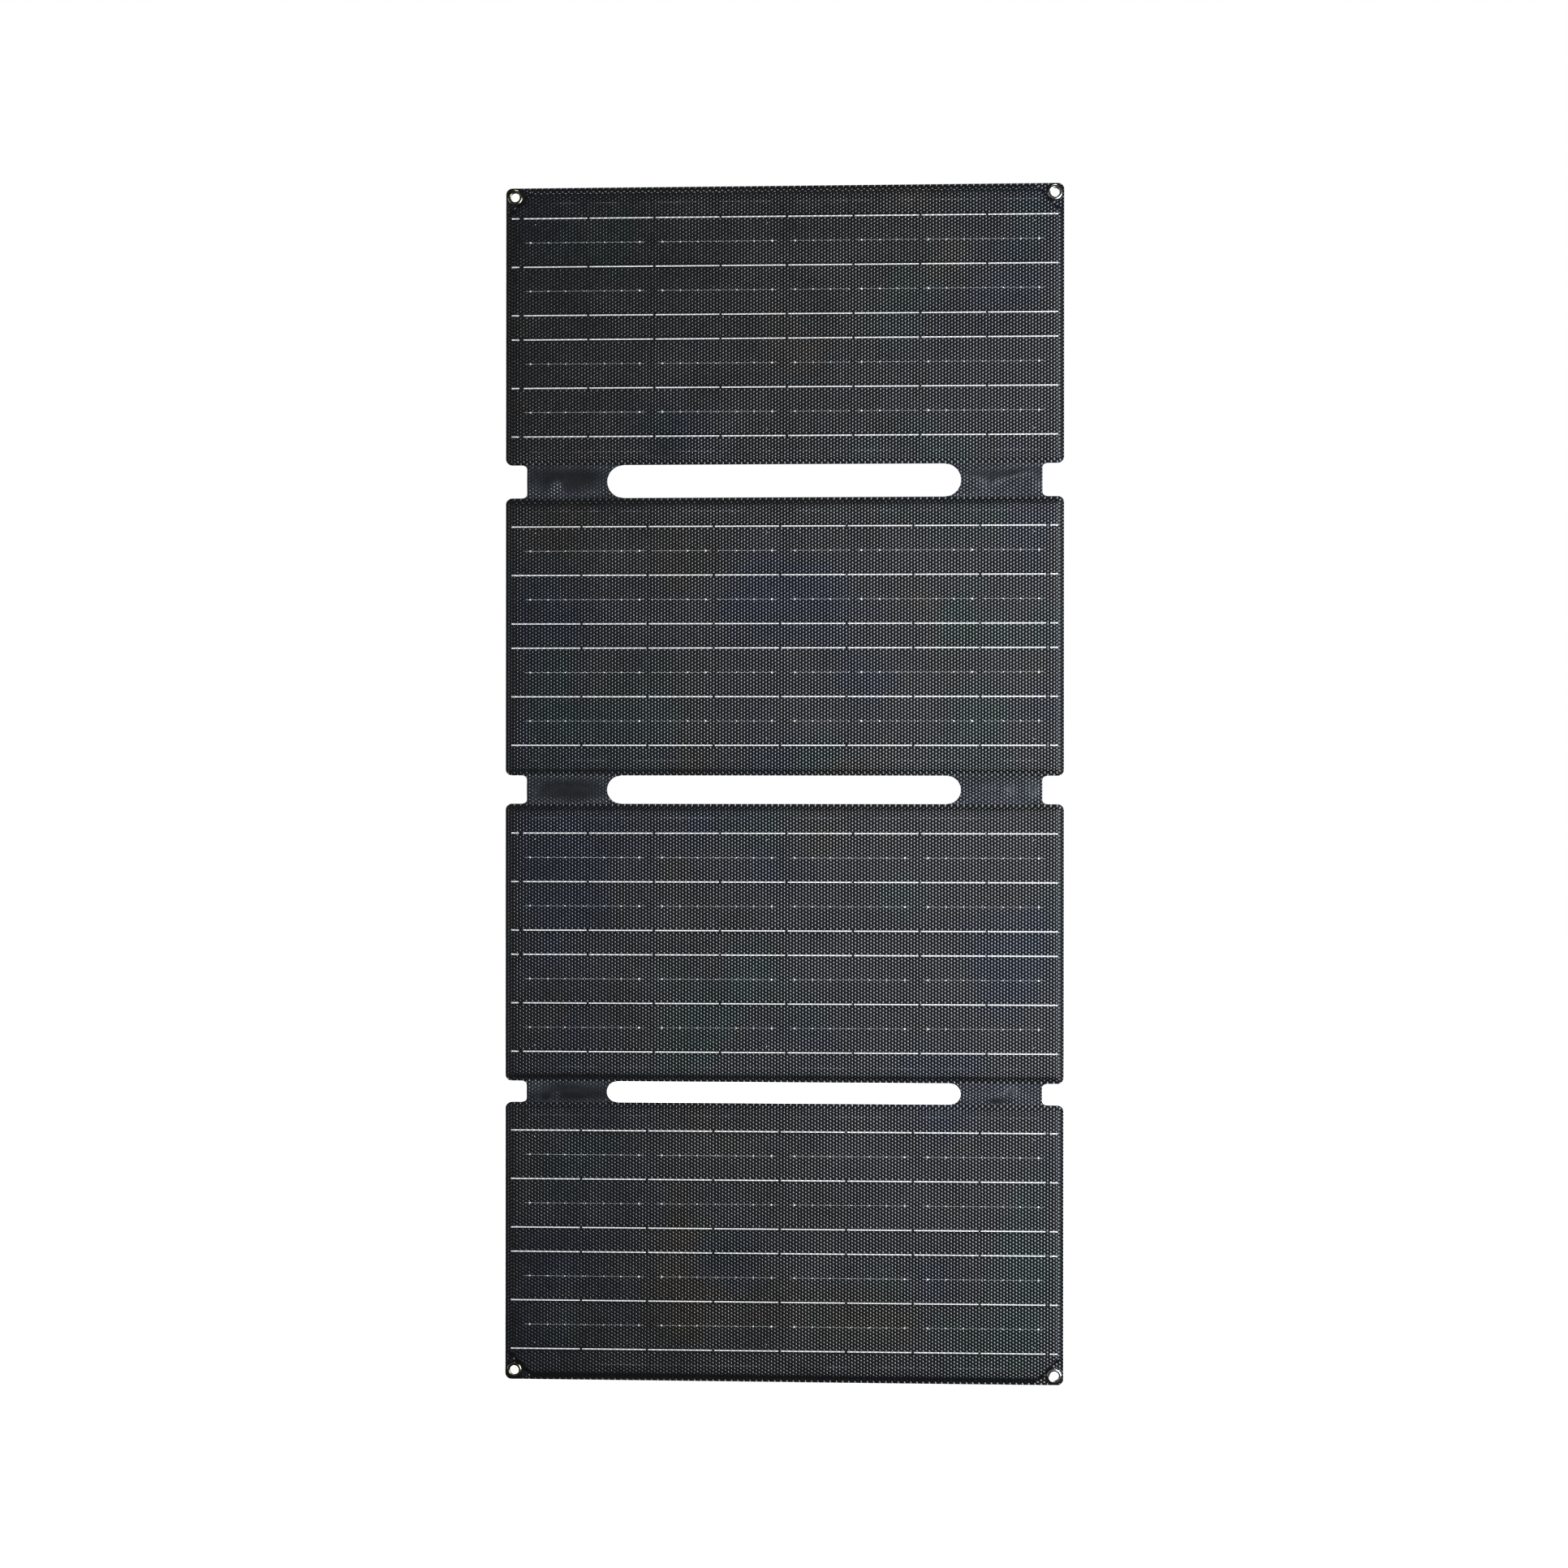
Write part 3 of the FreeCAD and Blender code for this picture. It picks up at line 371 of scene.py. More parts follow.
def woven_material(name, dark, light):
    """Coated ripstop: a plain weave with a heavier thread at each grid line both ways."""
    thread, grid = 0.6 * MM, 6.0 * MM
    shade = Shade(name)
    turns = math.pi / thread
    across = shade.math("SINE", shade.math("MULTIPLY", shade.axis("X", shade.rest), turns))
    up = shade.math("SINE", shade.math("MULTIPLY", shade.axis("Z", shade.rest), turns))
    weave = shade.math("MULTIPLY", across, up)
    fuzz = shade.noise(2600, 3, shade.rest)
    wear = shade.noise(14, 4, shade.rest)
    height = shade.math("MULTIPLY_ADD", weave, 0.5, shade.math("MULTIPLY", fuzz, 0.6))
    cords = []
    for letter in ("X", "Z"):
        phase = shade.math("MULTIPLY", shade.axis(letter, shade.rest), 2 * math.pi / grid)
        cords.append(shade.step(shade.math("COSINE", phase), 0.86, 0.97))
    cord = shade.math("MAXIMUM", *cords)
    height = shade.math("ADD", height, shade.math("MULTIPLY", cord, 1.6))
    tone = shade.mix(shade.step(weave, -0.8, 0.9), dark, light)
    tone = shade.mix(shade.math("MULTIPLY", shade.step(wear, 0.5, 0.75), 0.35), tone, light)
    tone = shade.mix(shade.math("MULTIPLY", cord, 0.5), tone, light)
    return shade.set(
        Base_Color=tone,
        Roughness=shade.math("MULTIPLY_ADD", wear, 0.2, 0.5),
        Sheen_Weight=0.1,
        Normal=shade.bump(height, 0.12 * MM),
    )


def metal_material(name, light, dark, rough):
    """Plated metal with fine scratches and slightly darker, duller worn places."""
    shade = Shade(name)
    scratch = shade.noise(500, 5, stretch=(1, 1, 0.12))
    wear = shade.noise(140, 4)
    return shade.set(
        Base_Color=shade.mix(shade.step(wear, 0.35, 0.7), light, dark),
        Metallic=1.0,
        Roughness=shade.math("MULTIPLY_ADD", scratch, 0.2, rough),
        Normal=shade.bump(scratch, 0.02 * MM),
    )


def eyelet_material():
    """Plated brass with worn places, painted darker on the left and lighter on the right for the
    light falling from the right, and brassier on the left, greyer on the right.
    """
    shade = Shade("plated_eyelet")
    scratch = shade.noise(700, 5, stretch=(1, 0.2, 1))
    wear = shade.noise(220, 4)
    # painted light: darker, brassier colours on the left and lighter, greyer ones on the right, as
    # the light falls from the right
    right = shade.step(shade.axis("X"), -0.15, 0.12)
    clean = shade.mix(right, (0.2, 0.19, 0.135), (0.36, 0.36, 0.365))
    worn = shade.mix(right, (0.1, 0.095, 0.06), (0.2, 0.2, 0.205))
    return shade.set(
        Base_Color=shade.mix(shade.step(wear, 0.35, 0.7), clean, worn),
        Metallic=1.0,
        Roughness=shade.math("MULTIPLY_ADD", scratch, 0.16, 0.14),
        Normal=shade.bump(scratch, 0.02 * MM),
    )


def plastic_material(name, base, rough=0.5, grain=1300, depth=0.05, spread=0.25):
    """Moulded plastic, rubber or resin: its colour, a grain of some fineness and depth in mm,
    and how much lighter than its colour it wears."""
    shade = Shade(name)
    texture = shade.noise(grain, 4)
    wear = shade.noise(45, 4)
    light = tuple(min(1.0, part * (1 + spread) + 0.004) for part in base)
    return shade.set(
        Base_Color=shade.mix(shade.step(wear, 0.3, 0.75), base, light),
        Roughness=shade.math("MULTIPLY_ADD", wear, 0.18, rough - 0.09),
        Normal=shade.bump(texture, depth * MM),
    )


def floor_material():
    """White and matt, with a very faint cloud in it."""
    shade = Shade("studio_floor")
    cloud = shade.noise(3, 2)
    tone = shade.mix(cloud, (0.9, 0.9, 0.9), (0.92, 0.92, 0.92))
    return shade.set(Base_Color=tone, Roughness=0.8)


LOOKS = {
    "back_fabric": woven_material("back_weave", (0.016, 0.016, 0.018), (0.042, 0.042, 0.046)),
    "web_fabric": web_material(),
    "tinned_ribbon": ribbon_material("tinned_ribbon", (0.25, 0.26, 0.27), (0.55, 0.56, 0.57), 0.6),
    "eyelet_metal": eyelet_material(),
    "screw_steel": metal_material("zinc_screw", (0.6, 0.6, 0.62), (0.42, 0.42, 0.44), 0.3),
    "socket_metal": metal_material("socket_shell", (0.66, 0.66, 0.67), (0.5, 0.5, 0.52), 0.25),
    "capacitor_can": metal_material("capacitor_can", (0.7, 0.7, 0.72), (0.6, 0.6, 0.62), 0.3),
    "box_plastic": plastic_material("box_plastic", (0.022, 0.022, 0.024), 0.5),
    "cover_rubber": plastic_material("cover_rubber", (0.028, 0.028, 0.03), 0.66, 900),
    "seal_rubber": plastic_material("seal_rubber", (0.04, 0.04, 0.042), 0.7, 900),
    "backing_board": plastic_material("glass_laminate", (0.07, 0.085, 0.06), 0.45, 700),
    "encapsulant": plastic_material("melted_sheet", (0.5, 0.52, 0.52), 0.3, 500),
    "silicon_cell": plastic_material("silicon", (0.01, 0.013, 0.03), 0.25, 2500, 0.01, 0.6),
    "board_green": plastic_material("solder_resist", (0.02, 0.12, 0.05), 0.4, 600),
    "socket_plastic": plastic_material("socket_plastic", (0.015, 0.015, 0.016), 0.35),
    "chip_plastic": plastic_material("chip_epoxy", (0.02, 0.02, 0.02), 0.55),
    "ferrite": plastic_material("ferrite", (0.09, 0.09, 0.095), 0.6, 800),
    "light_lens": plastic_material("light_lens", (0.1, 0.5, 0.2), 0.2, 300, 0.01),
}
# the busbar print carries the same painted highlights on the dome tops as the ribbons
PRINT_LOOK = ribbon_material("cell_print", (0.12, 0.125, 0.13), (0.42, 0.43, 0.45), 0.8)


# the moulded parts whose edges are rounded, and by how much
EASED = {"box_base": 0.8 * MM, "port_cover": 0.5 * MM}


def ease_edges():
    """Round the sharp edges of the moulded parts a little, with modifiers alone."""
    for name, radius in EASED.items():
        weld = nodes[name].modifiers.new("weld", "WELD")
        weld.merge_threshold = 0.005 * MM
        bevel = nodes[name].modifiers.new("eased_edges", "BEVEL")
        bevel.width = radius
        bevel.segments = 3
        bevel.limit_method = "ANGLE"
        bevel.angle_limit = math.radians(40)
        bevel.harden_normals = True


def dress_cad_nodes():
    """Give every carried-over CAD node the look of its slot."""
    for row in frame["record"]["subparts"]:
        look = LOOKS.get(row["material_slot"])
        if look is not None:
            mesh = nodes[row["node"]].data
            mesh.materials.clear()
            mesh.materials.append(look)


# ---- mesh helpers -------------------------------------------------------------------

def make_object(name, points, faces, material):
    """A smooth-shaded object from points and faces."""
    mesh = bpy.data.meshes.new(name)
    mesh.from_pydata(np.asarray(points).tolist(), [], [tuple(map(int, face)) for face in faces])
    mesh.materials.append(material)
    mesh.validate()
    piece = bpy.data.objects.new(name, mesh)
    bpy.context.scene.collection.objects.link(piece)
    mesh.shade_smooth()
    return piece


def places_of(piece):
    """A piece's points, as an array."""
    places = np.empty(len(piece.data.vertices) * 3, np.float32)
    piece.data.vertices.foreach_get("co", places)
    return places.reshape(-1, 3)


def face_outwards(piece):
    """Turn every face of a closed piece to look outwards."""
    work = bmesh.new()
    work.from_mesh(piece.data)
    bmesh.ops.recalc_face_normals(work, faces=work.faces)
    work.to_mesh(piece.data)
    work.free()


def finish_piece(piece, body=None, stands_for=(), relief=1.0, sharp=40):
    """Sharpen the creases, store what the shaders read, and hang the piece on its body."""
    mesh = piece.data
    mesh.shade_smooth()
    mesh.set_sharp_from_angle(angle=math.radians(sharp))
    places = places_of(piece)
    rest = mesh.attributes.new("rest", "FLOAT_VECTOR", "POINT")
    rest.data.foreach_set("vector", places.ravel())
    height = relief(places[:, [0, 2]]) if callable(relief) else np.full(len(places), relief)
    stored = mesh.attributes.new("relief", "FLOAT", "POINT")
    stored.data.foreach_set("value", height.astype(np.float32))
    if body:
        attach(piece, body)
    if stands_for:
        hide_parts(*stands_for)
    return piece


def smooth(value, low, high):
    """0 at low and 1 at high, smooth between them."""
    share = np.clip((value - low) / (high - low), 0, 1)
    return share * share * (3 - 2 * share)


def dome_fall(points):
    """How far the embossed surface lies below the tops of its domes."""
    cell = np.array([2 * DOME_COLUMN, DOME_PITCH])
    falls = []
    for shift in ((0, 0), (DOME_COLUMN, DOME_PITCH / 2)):
        offset = (points + shift + cell / 2) % cell - cell / 2
        falls.append((offset**2).sum(axis=1))
    return np.minimum(*falls) / (2 * DOME_RADIUS)


def triangular_lattice(half_wide, half_tall, pitch, rise=0.0):
    """Points and triangles of a lattice, each triangle cut in six about its middle.

    The lattice's own points come out as the domes' tops, and the added ones as their feet.
    """
    column = pitch * math.sqrt(3) / 2
    columns = 2 * int(math.ceil(half_wide / column / 2)) + 2
    rows = int(math.ceil(half_tall / pitch)) + 2
    i, j = np.meshgrid(np.arange(-columns, columns), np.arange(-rows, rows), indexing="ij")
    i, j = i.ravel(), j.ravel()

    def place(i, j):
        return np.stack([i * column, (j + (i % 2) / 2) * pitch + rise % pitch], axis=-1)

    beside = j + (i % 2)
    first = np.stack([place(i, j), place(i + 1, beside), place(i, j + 1)], axis=1)
    second = np.stack([place(i + 1, beside - 1), place(i + 1, beside), place(i, j)], axis=1)
    corners = np.concatenate([first, second])
    middles = corners.mean(axis=1)
    pieces = []
    for a, b in ((0, 1), (1, 2), (2, 0)):
        half = (corners[:, a] + corners[:, b]) / 2
        pieces.append(np.stack([corners[:, a], half, middles], axis=1))
        pieces.append(np.stack([half, corners[:, b], middles], axis=1))
    soup = np.concatenate(pieces).reshape(-1, 2)
    keys = np.round(soup / (pitch * 1e-3)).astype(np.int64)
    _, seen, triangles = np.unique(keys, axis=0, return_index=True, return_inverse=True)
    return soup[seen], triangles.reshape(-1, 3)


def outline_depth(points):
    """How far each point lies inside a panel's outline; negative outside."""
    out = np.abs(points) - (np.array([HALF_WIDE, HALF_TALL]) - CORNER)
    corner = np.linalg.norm(np.maximum(out, 0), axis=1)
    return CORNER - corner - np.minimum(out.max(axis=1), 0)


def onto_outline(points):
    """Points outside the outline moved straight onto it."""
    limit = np.array([HALF_WIDE, HALF_TALL]) - CORNER
    core = np.clip(points, -limit, limit)
    away = points - core
    length = np.maximum(np.linalg.norm(away, axis=1, keepdims=True), 1e-12)
    return core + away * np.minimum(1, CORNER / length)


def eyelet_spots(panel):
    """Where a panel has its eyelets, from its centre."""
    if panel not in EYELET_Z:
        return []
    up = EYELET_Z[panel] - panel_centre(panel)
    return [np.array([side * EYELET_X, up]) for side in (-1, 1)]


def panel_lattice(panel, pitch, in_step=False):
    """The lattice cut to a panel's outline and round its eyelet holes."""
    rise = -panel_centre(panel) if in_step else 0.0
    points, triangles = triangular_lattice(HALF_WIDE, HALF_TALL, pitch, rise)
    keep = outline_depth(points) > 0
    radius = EYELET_BARREL + 0.15 * MM
    holes = eyelet_spots(panel)
    for hole in holes:
        keep &= np.linalg.norm(points - hole, axis=1) > radius
    triangles = triangles[keep[triangles].any(axis=1)]
    points = onto_outline(points)
    for hole in holes:
        away = points - hole
        length = np.maximum(np.linalg.norm(away, axis=1, keepdims=True), 1e-9)
        points = np.where(length < radius, hole + away * radius / length, points)
    a, b, c = (points[triangles[:, n]] for n in range(3))
    area = (b - a)[:, 0] * (c - a)[:, 1] - (b - a)[:, 1] * (c - a)[:, 0]
    triangles = triangles[np.abs(area) > 1e-10]
    used, triangles = np.unique(triangles, return_inverse=True)
    return points[used], triangles.reshape(-1, 3)


def close_sheet(piece, far_y):
    """Close an open sheet with a wall from its border to a flat side at far_y."""
    work = bmesh.new()
    work.from_mesh(piece.data)
    bmesh.ops.remove_doubles(work, verts=work.verts, dist=1e-7)
    border = [edge for edge in work.edges if edge.is_boundary]
    made = bmesh.ops.extrude_edge_only(work, edges=border)["geom"]
    for vertex in (item for item in made if isinstance(item, bmesh.types.BMVert)):
        vertex.co.y = far_y
    rim = [edge for edge in work.edges if edge.is_boundary]
    bmesh.ops.triangle_fill(work, use_beauty=True, edges=rim)
    bmesh.ops.recalc_face_normals(work, faces=work.faces)
    work.to_mesh(piece.data)
    work.free()


class Tubes:
    """Many closed bars in one mesh, each swept along X from a small cross-section."""

    def __init__(self):
        self.points = []
        self.faces = []

    def add(self, rings):
        """rings is an array of cross-sections, each with its points in the same order."""
        count, size = rings.shape[:2]
        start = len(self.points)
        self.points.extend(rings.reshape(-1, 3).tolist())
        for ring in range(count - 1):
            for n in range(size):
                a = start + ring * size + n
                b = start + ring * size + (n + 1) % size
                self.faces.append((a, b, b + size, a + size))
        self.faces.append(tuple(start + n for n in range(size)))
        self.faces.append(tuple(start + (count - 1) * size + n for n in reversed(range(size))))

    def make(self, name, material):
        piece = make_object(name, self.points, self.faces, material)
        face_outwards(piece)
        return piece


# ---- the panels ---------------------------------------------------------------------

def row_height(panel, row):
    """The height of one of the ten rows of busbars, counted from the top."""
    return laid_centre(panel) + (MIDDLE_ROW - row) * ROW_PITCH


def front_rise(points, panel):
    """How far the film stands forward of its rim: 0 at the rim and 1 over the board."""
    rise = smooth(outline_depth(points), 1 * MM, RIM)
    for spot in eyelet_spots(panel):
        from_corner = np.array([HALF_WIDE, HALF_TALL]) - points * np.sign(spot)
        past_foot = (from_corner.sum(axis=1) - EYELET_FOOT) / math.sqrt(2)
        rise = np.minimum(rise, smooth(past_foot, 0, 1.25 * MM))
    return rise


def film_relief(points, panel):
    """The emboss is pressed flatter over the ribbons and round the eyelets."""
    relief = np.ones(len(points))
    for row in SOLID_ROWS:
        off = np.abs(points[:, 1] - row_height(panel, row) + panel_centre(panel))
        covered = (1 - smooth(off, 0.6 * MM, 1.3 * MM)) * (np.abs(points[:, 0]) < FIELD_HALF)
        relief = relief - 0.7 * covered
    for spot in eyelet_spots(panel):
        relief = np.minimum(relief, smooth(np.linalg.norm(points - spot, axis=1), 5 * MM, 8 * MM))
    return relief


def make_film(panel):
    """The embossed front film, raised over the board, with its domes in the mesh."""
    points, triangles = panel_lattice(panel, DOME_PITCH, in_step=True)
    centre = panel_centre(panel)
    shift = np.array([0, centre])
    level = RIM_Y + (FRONT_Y - RIM_Y) * front_rise(points, panel)
    y = level + dome_fall(points + shift) * film_relief(points, panel)
    full = np.stack([points[:, 0], y, points[:, 1] + centre], axis=1)
    film = make_object(f"panel_{panel}_embossed_film", full, triangles, film_material(panel))
    close_sheet(film, FABRIC_Y)
    return finish_piece(
        film,
        f"panel_{panel}",
        (f"panel_{panel}_front_film",),
        lambda places: film_relief(places - shift, panel),
    )


BACK_WAVES = 7
BACK_STEP = 2.8 * MM  # the back cloth's mesh
BACK_PRESS = 0.25 * MM  # the line pressed round the board
BACK_SAG = 0.38 * MM  # how deep the cloth's slow waves are


def slow_waves(points, seed):
    """Gentle unevenness from 0 to 1: a few long waves that cross at different angles."""
    draw = random.Random(seed)
    total = np.zeros(len(points))
    for _ in range(BACK_WAVES):
        angle, length = draw.uniform(0, math.pi), draw.uniform(24, 70) * MM
        along = points @ np.array([math.cos(angle), math.sin(angle)])
        total += np.sin(2 * math.pi * along / length + draw.uniform(0, 2 * math.pi))
    return np.clip(0.5 + 0.5 * total / math.sqrt(BACK_WAVES), 0, 1)


def make_back_cloth(panel):
    """The woven back, pressed down in a line round the board and a little uneven inside it."""
    points, triangles = panel_lattice(panel, BACK_STEP)
    depth = outline_depth(points)
    press = BACK_PRESS * np.exp(-(((depth - RIM) / (1.4 * MM)) ** 2))
    inside = np.clip((depth - RIM) / (6 * MM), 0, 1)
    sink = press + BACK_SAG * inside * slow_waves(points, panel)
    full = np.stack([points[:, 0], BACK_Y - sink, points[:, 1] + panel_centre(panel)], axis=1)
    cloth = make_object(f"panel_{panel}_back_cloth", full, triangles, LOOKS["back_fabric"])
    close_sheet(cloth, FABRIC_Y)
    finish_piece(cloth, f"panel_{panel}", (f"panel_{panel}_back_fabric",))


BAR_STEP = 1.12 * MM  # between two cross-sections of a bar


def bar_rings(left, right, height, half, front):
    """Cross-sections of a low crowned bar from left to right at one height."""
    count = max(3, int(math.ceil((right - left) / BAR_STEP)) + 1)
    along = np.linspace(left, right, count)
    ripple = 0.5 * dome_fall(np.stack([along, np.full(count, height)], axis=1))
    ripple = 0.1 * (ripple - ripple.mean())
    shoulder = front + 0.04 * MM
    section = ((-1, HIDDEN_FOOT), (-0.8, shoulder), (0, front), (0.8, shoulder), (1, HIDDEN_FOOT))
    rings = np.empty((count, len(section), 3))
    for n, (side, y) in enumerate(section):
        rings[:, n, 0] = along
        rings[:, n, 1] = y + (ripple if n in (1, 2, 3) else 0)
        rings[:, n, 2] = height + side * half
    return rings


def make_ribbons(panel):
    """Bright ribbons, one a strip, which run on past the end strip to the board's edge."""
    mirror = 1 if panel % 2 else -1
    bars = Tubes()
    starts = [-FIELD_HALF + RIBBON_LEAD + n * STRIP_PITCH for n in range(STRIPS)]
    runs = [(start, start + STRIP_PITCH - RIBBON_GAP) for start in starts]
    runs[-1] = (runs[-1][0], RIBBON_EDGE)
    runs.append((-RIBBON_EDGE, -RIBBON_EDGE + TAIL))
    for row in SOLID_ROWS:
        for left, right in runs:
            ends = sorted((mirror * left, mirror * right))
            height = row_height(panel, row)
            bars.add(bar_rings(*ends, height, RIBBON_WIDE / 2, FRONT_Y - 0.02 * MM))
    piece = bars.make(f"panel_{panel}_bright_ribbons", LOOKS["tinned_ribbon"])
    finish_piece(piece, f"panel_{panel}", (f"panel_{panel}_ribbons",))


def disc_rings(x, height, radius):
    """A small domed pad, as rings round its own middle."""
    sides = 10
    turn = np.linspace(0, 2 * math.pi, sides, endpoint=False)
    levels = ((1.0, HIDDEN_FOOT), (0.95, FRONT_Y), (0.6, FRONT_Y - 0.03 * MM))
    rings = np.empty((len(levels), sides, 3))
    for n, (share, y) in enumerate(levels):
        rings[n, :, 0] = x + share * radius * np.cos(turn)
        rings[n, :, 1] = y
        rings[n, :, 2] = height + share * radius * np.sin(turn)
    return rings


# the fine busbar of a strip, and the pads along it as places and radii, in mm from one end
# of the strip; and which end of each strip has the largest, since a strip can be laid
# either way round
PRINT_RUN = (1.2, 43.5)
PADS = ((39.8, 0.72), (26.7, 0.58), (14.2, 0.46), (0.9, 0.34))
PRINT_HALF = 0.09 * MM
MARK_RADIUS = 0.3 * MM
MARK_INSET = (11.9 * MM, 16.3 * MM)  # each wafer's four marks, across and up from its corners
LARGE_ENDS = {1: "LRLRLLLR", 2: "LRRRLLRR", 3: "LRLRLRLR", 4: "LRLRLRLR"}


def make_print(panel):
    """Silver print on the cells: fine busbars, their solder pads, and the wafers' marks."""
    lines, pads = Tubes(), Tubes()
    for row in DOTTED_ROWS:
        height = row_height(panel, row)
        for strip, end in enumerate(LARGE_ENDS[panel]):
            side = 1 if end == "R" else -1
            foot = (strip - STRIPS / 2 + (end == "L")) * STRIP_PITCH
            ends = sorted(foot + side * off * MM for off in PRINT_RUN)
            lines.add(bar_rings(*ends, height, PRINT_HALF, FRONT_Y + 0.03 * MM))
            for off, radius in PADS:
                pads.add(disc_rings(foot + side * off * MM, height, radius * MM))
    inset_x, inset_z = MARK_INSET
    for middle_x in (-WAFER_MIDDLE, WAFER_MIDDLE):
        for side in (-1, 1):
            for up in (-1, 1):
                height = laid_centre(panel) + up * (CELL_HALF_TALL - inset_z)
                across = middle_x + side * (WAFER_MIDDLE - inset_x)
                pads.add(disc_rings(across, height, MARK_RADIUS))
    busbars = lines.make(f"panel_{panel}_busbar_print", PRINT_LOOK)
    finish_piece(busbars, f"panel_{panel}", ())
    dots = pads.make(f"panel_{panel}_solder_pads", LOOKS["tinned_ribbon"])
    finish_piece(dots, f"panel_{panel}", ())


# ---- the folds ----------------------------------------------------------------------

WEB_INNER = 128 * MM  # the round end of the long slot, at its furthest
WEB_OUTER = 186.5 * MM
WEB_CORNER = 3.3 * MM
WEB_STEP = 0.75 * MM  # the webs' mesh
WEB_BOW = 0.6 * MM  # how far forward the slack cloth stands
LEAD_BOW = 0.5 * MM
LEAD_COLUMNS, LEAD_ROWS = 9, 13

# Soft spots on the webs: across and up from the fold's middle, half length, half width and
# turn in degrees, then how far forward a crease stands or how flat the emboss is pressed.
CREASES = {
    "12": (
        (160, 1.5, 17, 3.0, 14, 0.4), (146, -5, 9, 4.0, 70, -0.3), (137, 3, 11, 3.5, -25, 0.3),
        (-167, -3.5, 8, 5.0, 62, 0.5), (-140, 1, 14, 4.0, 20, 0.25), (-178, 5, 8, 3.0, -30, 0.2),
    ),
    "23": (
        (159, 0.5, 5, 3.5, 80, 0.4), (172, 1.0, 5, 4.0, 75, 0.35), (140, -2, 12, 3.0, -10, 0.2),
        (-150, 1, 15, 4.0, -12, 0.3), (-172, -2, 9, 3.5, 40, 0.3),
    ),
    "34": (
        (158, 1.5, 8, 2.6, 50, 0.4), (164, -3, 6, 2.4, 30, 0.35), (140, 0, 8, 3.0, 20, 0.2),
        (-158, 0, 14, 3.5, 10, 0.3), (-166, -2.5, 6, 3.0, 20, 0.3),
    ),
}
# spots where the emboss is pressed flat; the web's material also paints shade on them
PRESSED = {
    "12": (
        (-155, 1, 26, 8.0, 0, 1.1), (-166, -4, 6, 4.0, 50, -1.0), (158, 5.5, 34, 3.4, 5, 0.5),
        (147, -0.5, 6, 6.0, 0, 0.45), (184, 1, 4, 8.0, 0, 0.6), (161, 1.5, 13, 2.0, 20, 0.3),
    ),
    "23": (
        (-154, 0, 24, 7.5, 0, 1.1), (163.5, 0.8, 3.6, 4.0, 0, 0.8), (180, 0.8, 4.0, 5.0, 0, 0.8),
        (150, 2, 9, 2.5, 8, 0.3),
    ),
    "34": (
        (-150, 0, 25, 5.5, 0, 1.1), (-165, -3, 5, 2.6, 20, -0.9), (-172, -4, 4, 3.0, 0, 0.7),
        (164.5, 2.3, 4, 3.0, 0, 0.8), (153.5, -5, 6, 2.2, 0, 0.8), (160, -1, 9, 2.0, 40, 0.35),
    ),
}


def soft_spots(places, spots):
    """The sum of some soft oval spots at some places."""
    total = np.zeros(len(places))
    for across, up, length, width, turn, height in spots:
        angle = math.radians(turn)
        dx, dz = places[:, 0] - across * MM, places[:, 1] - up * MM
        along = (dx * math.cos(angle) + dz * math.sin(angle)) / (length * MM)
        beside = (dz * math.cos(angle) - dx * math.sin(angle)) / (width * MM)
        total += height * np.exp(-(along**2) - beside**2)
    return total


class Fold:
    """One fold: where its two webs lie, and the shape of their surfaces."""

    def __init__(self, name):
        self.name = name
        self.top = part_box(f"fold_{name}_web_left")[1].z
        self.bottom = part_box(f"fold_{name}_web_left")[0].z
        self.centre = (self.top + self.bottom) / 2
        self.half = (self.top - self.bottom) / 2
        spine = f"fold_{name}_spine"
        # each half of the fold: its name, the bodies above and below its hinge line, and its own
        # top and bottom
        self.halves = (
            ("upper", f"panel_{name[0]}", spine, self.top, self.centre),
            ("lower", spine, f"panel_{name[1]}", self.centre, self.bottom),
        )

    def limits(self, up):
        """The inner and outer ends of a web at a height from the fold's middle."""
        inner = WEB_INNER - self.half + np.sqrt(np.maximum(self.half**2 - up**2, 0))
        reach = np.maximum(np.abs(up) - (self.half - WEB_CORNER), 0)
        outer = WEB_OUTER + WEB_CORNER - np.sqrt(np.maximum(WEB_CORNER**2 - reach**2, 0))
        return inner, outer

    def relief(self, places):
        """The emboss is pressed flat in the middle of the left web and in dents of the right; the
        web's material paints shade where it is pressed.
        """
        local = places - np.array([0, self.centre])
        return np.clip(1 - soft_spots(local, PRESSED[self.name]), 0.06, 1)

    def bow(self, places):
        """How slack the web is at some places, and how far its creases stand forward."""
        local = places - np.array([0, self.centre])
        slack = np.cos(np.clip(local[:, 1] / self.half, -1, 1) * math.pi / 2) ** 2
        return slack, MM * soft_spots(local, CREASES[self.name]) * np.sqrt(slack)

    def surfaces(self, places):
        """Front and back heights of the web at some places."""
        slack, wave = self.bow(places)
        front = RIM_Y - WEB_BOW * slack - wave + dome_fall(places) * self.relief(places)
        back = BACK_Y - WEB_BOW * slack - wave
        return front, back


